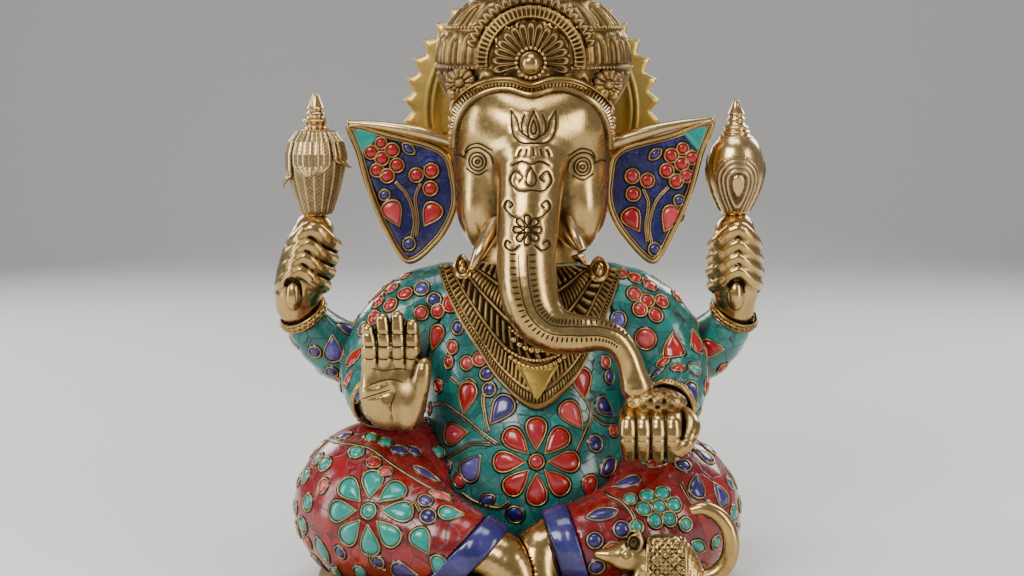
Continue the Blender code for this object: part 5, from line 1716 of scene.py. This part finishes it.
def fist(p):
    """Four fingers curled down over the palm, with knuckles, the thumb and the wrist."""
    f = fingers_field(p, FIST, 0.6)
    for finger in FIST:
        x = finger[1][0]
        f = blend(f, ball(p, (x, -96, 98.5), (3.6, 4.6, 3.6)), 1.5)
    f = blend(f, ball(p, (67, -84, 93), (17, 12, 11)), 2.0)
    thumb = [(83, -82, 99, 5), (86, -90, 95, 5), (83, -97, 88, 4.4), (79, -98, 84, 3.6)]
    f = blend(f, limb(p, thumb, 10), 1.0)
    f = blend(f, limb(p, wrist_l - (0, 0, 0, 0.9), 0), 5)
    front = hold((-p[..., 1] - 90) / 4)
    return f + 0.55 * crest(p[..., 2] - 90.5, 0.7) * front


sculpt("fist_cast", past("front_left", fist), (44, -106, 72), (96, -56, 116), 0.75, brass, ("hand_fist",),
       "brass", depth=1.15)
# painted shade: dark threads laid in the gaps between the curled fingers
between = [np.array([(x, 84.0), (x + 0.2, 91), (x, 99)]) for x in (57.2, 64.8, 72.4)]
threads("fist_gap_shade", fist, between, 0.55, 14, 0.3)


def sweet(p):
    """A flattened ball with a lumpy, pricked surface."""
    lumps = np.sin(p[..., 0] * 0.9) * np.sin(p[..., 2] * 1.1 + 1) * np.cos(p[..., 1] * 0.9)
    return ball(p, (68, -86.5, 107), (16, 9.3, 7.4)) - 0.7 * lumps


sculpt("sweet_cast", sweet, (50, -98, 97), (87, -75, 117), 0.7, old_brass, ("sweet",), "brass", depth=1.2)

# %% Rear hands
for side, cx, lean in (("right", -115.0, -13.0), ("left", 117.0, 1.0)):
    arm = smooth_path(ARMS["rear_" + side], 14)[10:]

    def shift(z):
        """Where the leaning hand's middle line stands at a height."""
        return cx + lean * (194 - z) / 45

    def rear_hand(p):
        """Four chevron fingers folded over a heel, and the ringed end of the thumb below."""
        f = limb(p, [(shift(146), 4, 146, 10), (shift(158), 2, 158, 13.6), (shift(174), 1.5, 174, 14),
                     (shift(188), 2, 188, 11)], 10)
        for k, z in enumerate((166, 173.4, 180.8, 188.6)):
            x = shift(z)
            w = 12.6 - abs(k - 1.2) * 0.7
            chain = [(x - w, 1, z - 8.5, 4.2), (x - 7.4, -8.2, z - 4.4, 4.9), (x, -11.8, z + 1.6, 4.9),
                     (x + 7.4, -8.2, z - 4.4, 4.9), (x + w, 1, z - 8.5, 4.2)]
            f = blend(f, limb(p, chain, 13), 1.0)
        for z in (162.6, 170.0, 177.3, 184.9):
            x = shift(z)
            dip = p[..., 2] - (z - 0.75 * np.abs(p[..., 0] - x) + 1.4)
            f = f + 0.5 * crest(dip, 0.75) * (p[..., 1] < 0) * (np.abs(p[..., 0] - x) < 13)
        moat = ball(p, (shift(154) - 1, -14, 153.5), (6.6, 5.2, 10.5))
        f = np.maximum(f, -moat)
        f = blend(f, ball(p, (shift(154) - 1, -9.5, 153.5), (4.4, 4.6, 8.4)), 0.4)
        f = blend(f, limb(p, arm - (0, 0, 0, 0.8), 0), 4)
        return f

    low = (cx - 32 if side == "right" else cx - 20, -20, 134)
    sculpt("rear_hand_%s_cast" % side, past("rear_" + side, rear_hand), low, (cx + 19, 22, 200), 0.85,
           brass, ("hand_rear_" + side,), "brass", depth=1.1)

# %% Bangles
for name, thick in (("front_right", 1.5), ("front_left", 1.5), ("rear_right", 2.2), ("rear_left", 2.2)):
    path = smooth_path(ARMS[name], 14)
    spot, aim = arm_end(name)
    spot = spot + aim * (thick + 0.6)
    wide = path[10, 3] - 1.5 + 0.9 + thick - 0.2
    side_way = np.cross(aim, (0, 0, 1.0))
    side_way /= np.linalg.norm(side_way)
    up_way = np.cross(side_way, aim)
    t = 2 * math.pi * np.arange(96) / 96
    out = np.outer(np.cos(t), side_way) + np.outer(np.sin(t), up_way)
    parts = []
    for shift_by, size in ((-1.9, 0.9), (1.9, 0.9), (0.0, 1.3)):
        ring = spot + out * (wide - 0.3) + aim * shift_by
        wavy = size * (1 + (0.35 * np.cos(t * 24) if shift_by == 0 else 0.12 * np.cos(t * 48)))
        parts.append(tubes(ring[None], out[None], wavy[None], 8))
    points, faces = stacked(parts)
    # darker on the ropes' side towards the arm
    inside = hold(1.4 - (np.linalg.norm(points - spot, axis=1) - wide + 1.2) * 0.9)
    make("bangle_%s_ropes" % name, points, faces, old_brass, ("bangle_" + name,), "brass",
         {"patina_and_shade": inside * 0.8})

# %% [markdown]
# ## Buds
# One bud has long drooping petals with flared tips and feather veins, the other is a smooth
# bulb chased with arches round a drop.  Both end in a ringed tip.

# %% Buds
BUD_R = [(0.02, 264.4), (1.6, 263.4), (3.2, 259.5), (4.3, 256.8), (4.9, 255.9), (3.7, 254.9), (5.2, 253.2),
         (4.4, 252.2), (4.9, 250.9), (7.4, 249.6), (7.0, 248.2), (5.6, 246.8), (6.0, 245.2), (9.5, 243.2),
         (13.6, 238), (15.6, 231), (15.4, 222), (13.2, 212), (10.6, 204), (8.6, 198.5), (6.4, 196.8),
         (3.6, 196.5), (3.6, 182), (0.02, 181.5)]
BUD_L = [(0.02, 261), (1.6, 260), (3.0, 256.5), (4.5, 253.6), (4.9, 252.8), (3.9, 251.8), (5.2, 249.8),
         (4.4, 248.6), (5.2, 247.2), (7.2, 245.6), (6.8, 244.2), (8.2, 243), (7.8, 241.8), (10.5, 239.6),
         (14, 234.5), (16.2, 226), (16.2, 219), (14.2, 211), (11, 204), (8.2, 199), (6.4, 197.4),
         (3.6, 197.2), (3.6, 182.5), (0.02, 182)]


def veined(a, t, r, h):
    """Feather veins: ribs down the bud with slanting barbs between them."""
    body_part = (h < 244) & (h > 197.5)
    v = (a / (2 * math.pi) * 16) % 1.0
    rib = crest(np.abs(v - 0.5) - 0.5, 0.10)
    barb = wave((h + 6 * np.abs(v - 0.5)) / 2.4, 0.8)
    up = np.where(body_part, np.maximum(rib, 0.45 * barb), 0.9)
    return (up - 0.5) * 0.9 * body_part, 0 * a * r, (1 - up) * 0.75 * body_part


def arched(a, t, r, h):
    """Nested arches about a standing drop on the front of the bulb, repeated behind."""
    v = ((a / (2 * math.pi) * 3 + 0.25) % 1.0 - 0.5) * 2 * math.pi / 3 * 15.5
    z = h - 216
    d = np.hypot(v, np.where(z > 0, z * 0.95, z * 0.42))
    ring = wave((d - 3.6) / 2.5, 1.5) * (d > 4.6) * (d < 13.5) + 1.0 * (d <= 3.4)
    body_part = (h < 240) & (h > 199)
    dark = np.where(body_part & (d < 14), (1 - hold(ring)) * 0.7, 0.0)
    return (ring - 0.4) * 0.85 * body_part, 0 * a * r, dark


rods = {"right": (-115.0, 2.0, 0), "left": (117.0, 2.0, 0)}
for side, rows, relief in (("right", BUD_R, veined), ("left", BUD_L, arched)):
    turned("bud_%s_cast" % side, profile(rows, 220), 192, pale_brass, ("bud_" + side,),
           centre=rods[side], relief=relief)

s = np.linspace(0, 1, 48)[:, None]           # drooping petals that hug the first bud
w = np.linspace(-1, 1, 41)[None]
bulb = np.array(BUD_R)
PETALS = ((-96, 0.74, 219), (-6, 0.78, 223), (84, 0.78, 216), (174, 0.74, 212))   # turn, half width, tip
for k, (start, wide, low) in enumerate(PETALS):
    line_z = 243.6 - (243.6 - low) * s
    hug = np.interp(-line_z, -bulb[9:20, 1], bulb[9:20, 0]) + 0.9
    hug = np.maximum(hug, np.maximum.accumulate(hug * (s < 0.8), axis=0) * (s >= 0.8))
    hug = hug + 2.4 * hold(s - 0.8) / 0.2
    half = wide * np.clip(1 - hold(s - 0.72) ** 1.6 / 0.14, 0.03, 1)
    ang = math.radians(start) + half * w
    feather = wave(w * 3.5 + 0 * s, 0.8)
    barb = wave((line_z - 5 * np.abs((w * 3.5) % 1 - 0.5)) / 2.2, 0.8)
    up = 0.75 * np.maximum(feather, 0.45 * barb)
    mx, my, _ = rods["right"]
    grids = [np.stack([mx + rr * np.cos(ang), my + rr * np.sin(ang), line_z + 0 * ang], -1)
             for rr in (hug + up, hug - 0.9 + 0 * w)]
    plate("bud_petal_%d" % (k + 1), *grids, pale_brass, patina_and_shade=0.75 * (1 - up / 0.75))

# %% [markdown]
# ## Feet, mouse and base
# Two feet meet between the cuffs.  The mouse sits in front of one knee with a quilted saddle
# and a thick tail that curls back over.

# %% Feet
def foot_right(p):
    """A long foot lying on its side, its sole and toes to the front."""
    f = limb(p, [(-24, -92, 31, 15), (-10, -98, 25, 14), (-5, -102, 15, 11.5), (-18, -104, 12, 9),
                 (-33, -103, 11, 8)], 20)
    for k in range(4):
        f = blend(f, ball(p, (-36.5 + 5.2 * k, -106 - 0.5 * k, 8.2 + 0.6 * k), (3.0, 4.6, 4.4)), 1.2)
    return np.maximum(f, FLOOR - p[..., 2])


def foot_left(p):
    """A foot set down behind the other, its toes to the front."""
    f = limb(p, [(14, -85, 31, 15), (6, -92, 26, 14.5), (7, -99, 16, 11.5), (9, -103, 11, 8.5)], 16)
    for k in range(4):
        f = blend(f, ball(p, (2.5 + 4.6 * k, -108, 7.4), (2.6, 4.4, 4.0)), 1.2)
    return np.maximum(f, FLOOR - p[..., 2])


for side, form, other in (("right", foot_right, leg_left), ("left", foot_left, leg_right)):
    _, spot, aim = CUFFS[side]
    aim = aim / np.linalg.norm(aim)

    def foot_piece(p):
        """The foot beyond its cuff, less the other leg and the foot in front of it."""
        f = np.maximum(form(p), -((p - spot) @ aim) + CUFF_WIDE)
        f = np.maximum(f, -(other(p) - 0.4))
        return np.maximum(f, -(foot_right(p) - 0.4)) if side == "left" else f

    low, high = ((-46, -118, 0), (16, -72, 52)) if side == "right" else ((-16, -118, 0), (34, -68, 52))
    sculpt("foot_%s_cast" % side, foot_piece, low, high, 0.9, brass, ("foot_" + side,), "brass", depth=1.1)

# %% Mouse
MY = -108.0


def mouse_form(p):
    """Body, haunch, head, ears, snout and paws of the crouching mouse."""
    px, py, pz = p[..., 0], p[..., 1], p[..., 2]
    f = blend(ball(p, (71, MY, 29), (17, 9.5, 13.5)), ball(p, (80, MY, 18), (13, 9.3, 14)), 4)
    f = blend(f, ball(p, (52, MY, 31), (9.5, 7.5, 8)), 4)
    f = blend(f, limb(p, [(49, MY, 31, 6), (42, MY, 31.5, 3.8), (37.6, MY, 32, 2.3)], 8), 2)
    f = blend(f, limb(p, [(62, MY - 3, 24, 6.6), (57, MY - 4, 14, 4.4), (51, MY - 4, 7, 4.0)], 8), 1.5)
    f = blend(f, limb(p, [(84, MY - 3, 10, 6.6), (72, MY - 5, 6.8, 4.2)], 6), 1.5)
    for y in (-4.6, 4.4):
        ear = np.maximum(ball(p, (56.5, MY + y, 39), (4.4, 2.4, 5.4)),
                         -ball(p, (55.3, MY + y - 1.6, 39.4), (2.8, 1.6, 3.6)))
        f = blend(f, ear, 0.8)
    eye_gap, cheek = np.hypot(px - 51.5, pz - 33.4), np.abs(py - MY) > 3
    f = f - 0.45 * crest(np.abs(eye_gap - 2.5), 0.6) * cheek
    f = f - 0.5 * crest(eye_gap, 1.1) * cheek
    inside = (np.abs(px - 72) < 10.5) & (pz > 17) & (pz < 42)
    edge = np.minimum(10.5 - np.abs(px - 72), pz - 17)
    u, v = (px + pz) / 4.2, (px - pz) / 4.2
    quilt = np.minimum(np.abs((u % 1) - 0.5), np.abs((v % 1) - 0.5)) * 2
    pad = 0.9 - 0.7 * crest(quilt, 0.28) * (edge > 1.6) + 0.35 * crest(edge - 0.8, 0.5)
    fur = 0.16 * np.sin(px * 2.6 + pz * 0.9) * np.sin(pz * 1.7)
    f = np.where(inside, f - pad, f - fur * (px > 60))
    return np.maximum(f, FLOOR - pz)


sculpt("mouse_cast", mouse_form, (33, -119.5, 0), (97, -96.5, 47), 0.65, brass, ("mouse",), "brass",
       depth=1.35)
TAIL = [(84, MY, 19, 4.6), (92, MY, 19.6, 4.7), (99, MY, 22.6, 4.7), (104, MY, 29, 4.6),
        (105.5, MY, 38, 4.4), (103.4, MY, 46.5, 4.2), (98, MY, 53, 3.9), (91, MY, 56, 3.4),
        (84.5, MY, 54.8, 2.6)]
points, faces = rod(smooth_path(TAIL, 80), (0, -1.0, 0), 24)
make("mouse_tail_cast", points, faces, brass, ("mouse_tail",), "brass", {"patina_and_shade": 0.05})

# %% Base plate
n_corner, rows = 14, []
CORNER, HALF_WIDE, HALF_DEEP = 30, 82, 53.5            # corner radius and where its middles lie
EDGE = ((30, 0.0), (1.2, 0.0), (0.3, 0.25), (0.0, 0.9), (0.0, 2.0), (0.3, 2.7), (1.2, 3.0), (30, 3.0))
for pull, z in EDGE:
    line = []
    for k, (sx, sy) in enumerate(((1, 1), (-1, 1), (-1, -1), (1, -1))):
        q = math.pi / 2 * (k + np.linspace(0, 1, n_corner))
        line.append(np.stack([-1 + sx * HALF_WIDE + (CORNER - pull) * np.cos(q),
                              -35.5 + sy * HALF_DEEP + (CORNER - pull) * np.sin(q)], 1))
    line = np.concatenate(line)
    rows.append(np.column_stack([line, np.full(len(line), z)]))
points, faces, _ = closed_rings(np.array(rows)[None], n_corner * 4)
make("base_plate_cast", points, faces, old_brass, ("base_plate",), "brass", {"patina_and_shade": 0.35})

# %% [markdown]
# ## Collar
# A V-shaped bib of chased bands lies over the chest and goes on as a ridged ring round the
# back of the neck.  The bib is one plate over two parameters: along the V, and from its outer
# border in to the neck.  The ring is a second plate.  Both knobs, the pendant and the arcs of
# beads are laid on top.

# %% Collar
OUTER = [(-47, 168), (-44, 160), (-38, 149), (-26, 130), (-12, 110), (6.6, 97.5), (25, 110), (36, 128),
         (46, 149), (51, 160), (53, 167)]
INNER = [(-26, 171), (-21, 172), (-16, 172.5), (-10, 173), (-3, 173.5), (4, 174), (11, 173.5),
         (17, 172.5), (23, 171.5), (28, 170.5), (33, 169.5)]
outer, inner = smooth_path(OUTER, 420), smooth_path(INNER, 420)
v = np.linspace(0, 1, 66)[:, None]
x = outer[None, :, 0] * (1 - v) + inner[None, :, 0] * v
z = outer[None, :, 1] * (1 - v) + inner[None, :, 1] * v
length = np.concatenate([[0], np.cumsum(np.linalg.norm(np.diff(outer, axis=0), axis=1))])[None]


def band(low, high):
    """1 between two shares of the way in, 0 elsewhere."""
    return ((v >= low) & (v < high)).astype(float)


def line_at(where, width=0.012):
    """A raised line along the collar at a share of the way in."""
    return np.exp(-((v - where) / width) ** 2)


up = line_at(0.022, 0.018) * 1.2 + line_at(0.30) + line_at(0.52) + line_at(0.74) + line_at(0.97, 0.02)
up = (up + band(0.05, 0.10) * wave(length / 1.9, 1.0) + line_at(0.125)
      + band(0.15, 0.27) * wave(length / 3.1, 0.8) * 0.9)
up = up + band(0.33, 0.49) * wave(length / 7 + 4.5 * (v - 0.41), 2.0) * 0.9
up = up + band(0.55, 0.71) * wave(length / 4.2, 0.7) * np.sqrt(hold(1 - ((v - 0.63) / 0.08) ** 2))
up = up + band(0.77, 0.94) * np.maximum(wave(length / 9, 6), wave(length / 9 + (v - 0.85) * 4, 4)) * 0.8
up = np.clip(up, 0, 1.3)
top, bottom = laid(body, x + 0 * length, z + 0 * length, 1.5 + 1.5 * up, 2.2)
plate("collar_bib", top, bottom, old_brass, ("collar",), patina_and_shade=0.95 * (1 - hold(up)) ** 1.1)

turn = np.radians(np.linspace(-28, 208, 300))[None]      # ring behind the neck
z = np.linspace(156.5, 176.5, 26)[:, None]
cols = [np.interp(z, torso_rings[:, 0], torso_rings[:, k]) for k in (1, 2, 3, 4)]
v = (z - 156.5) / 20
up = hold(crest(v - 0.05, 0.05) + crest(v - 0.95, 0.05) + crest(v - 0.6, 0.03)
             + ((v > 0.12) & (v < 0.55)) * wave(turn / (2 * math.pi) * 96, 0.8)
             + ((v > 0.65) & (v < 0.9)) * wave(turn / (2 * math.pi) * 60, 1.4))
cx, cy, rx, ry = cols
grids = [np.stack([cx + (rx + g) * np.cos(turn), cy + (ry + g) * np.sin(turn), z + 0 * turn], -1)
         for g in (0.9 + 1.3 * up, -0.8 + 0 * up)]
plate("collar_ring", *grids, old_brass, patina_and_shade=0.95 * (1 - up))

KNOBS = [(-33, 167, 5.8), (40, 166, 6.2)]
for k, (kx, kz, size) in enumerate(KNOBS):
    angle = np.linspace(0, 360, 49)[None, :-1]
    share = np.linspace(0.04, 1, 16)[:, None]
    xx = kx + share * size * np.cos(np.radians(angle))
    zz = kz + share * size * 0.85 * np.sin(np.radians(angle))
    dome = 2.2 + 2.8 * np.sqrt(hold(1 - (share / 0.5) ** 2)) + 1.4 * crest(share - 0.8, 0.12)
    top, bottom = laid(body, xx, zz, dome + 0 * angle + 1.6, 1.0)
    points, faces, _ = closed_rings(np.concatenate([top, bottom[::-1]])[None], 48)
    marks = np.tile(0.9 * crest(share - 0.58, 0.1) + 0 * angle, (2, 1)).ravel()
    make("collar_knob_%d" % (k + 1), points, faces, brass, (), "brass",
         {"patina_and_shade": np.concatenate([[0], marks, [0]])})

# %% Pendant and bead arcs
x, z = np.meshgrid(np.linspace(-1, 1, 40), np.linspace(0, 1, 30))
width = 1.0 + 10.0 * z
px, pz = 6.6 + x * width, 102.5 + 16.5 * z + 0.8 * x ** 2
rim = np.maximum(crest(1 - np.abs(x), 0.10), crest(1 - z, 0.08))
top, bottom = laid(torso, px, pz, 3.6 + 0.8 * rim, 2.0)
plate("pendant_plate", top, bottom, leaf_brass, ("pendant",), patina_and_shade=0.5 * crest(1 - np.abs(x) - 0.22, 0.08))
arcs, sizes = [], []
for z0, half, sag, number, size in ((124, 13.5, 5.5, 13, 1.6), (129, 16, 6.5, 19, 1.15),
                                    (134, 12, 6, 9, 1.9), (140, 14, 7, 20, 0.9)):
    u = np.linspace(-1, 1, number)
    arcs.append(np.stack([6.6 + half * u, z0 - sag * (1 - u ** 2)], 1))
    sizes.append(np.full(number, size))
arcs = np.concatenate(arcs)
spots, _ = settle(torso, land(torso, arcs[:, 0], arcs[:, 1]), 3.6)
beads("chest_beads", spots, np.concatenate(sizes), brass, round_by=10)
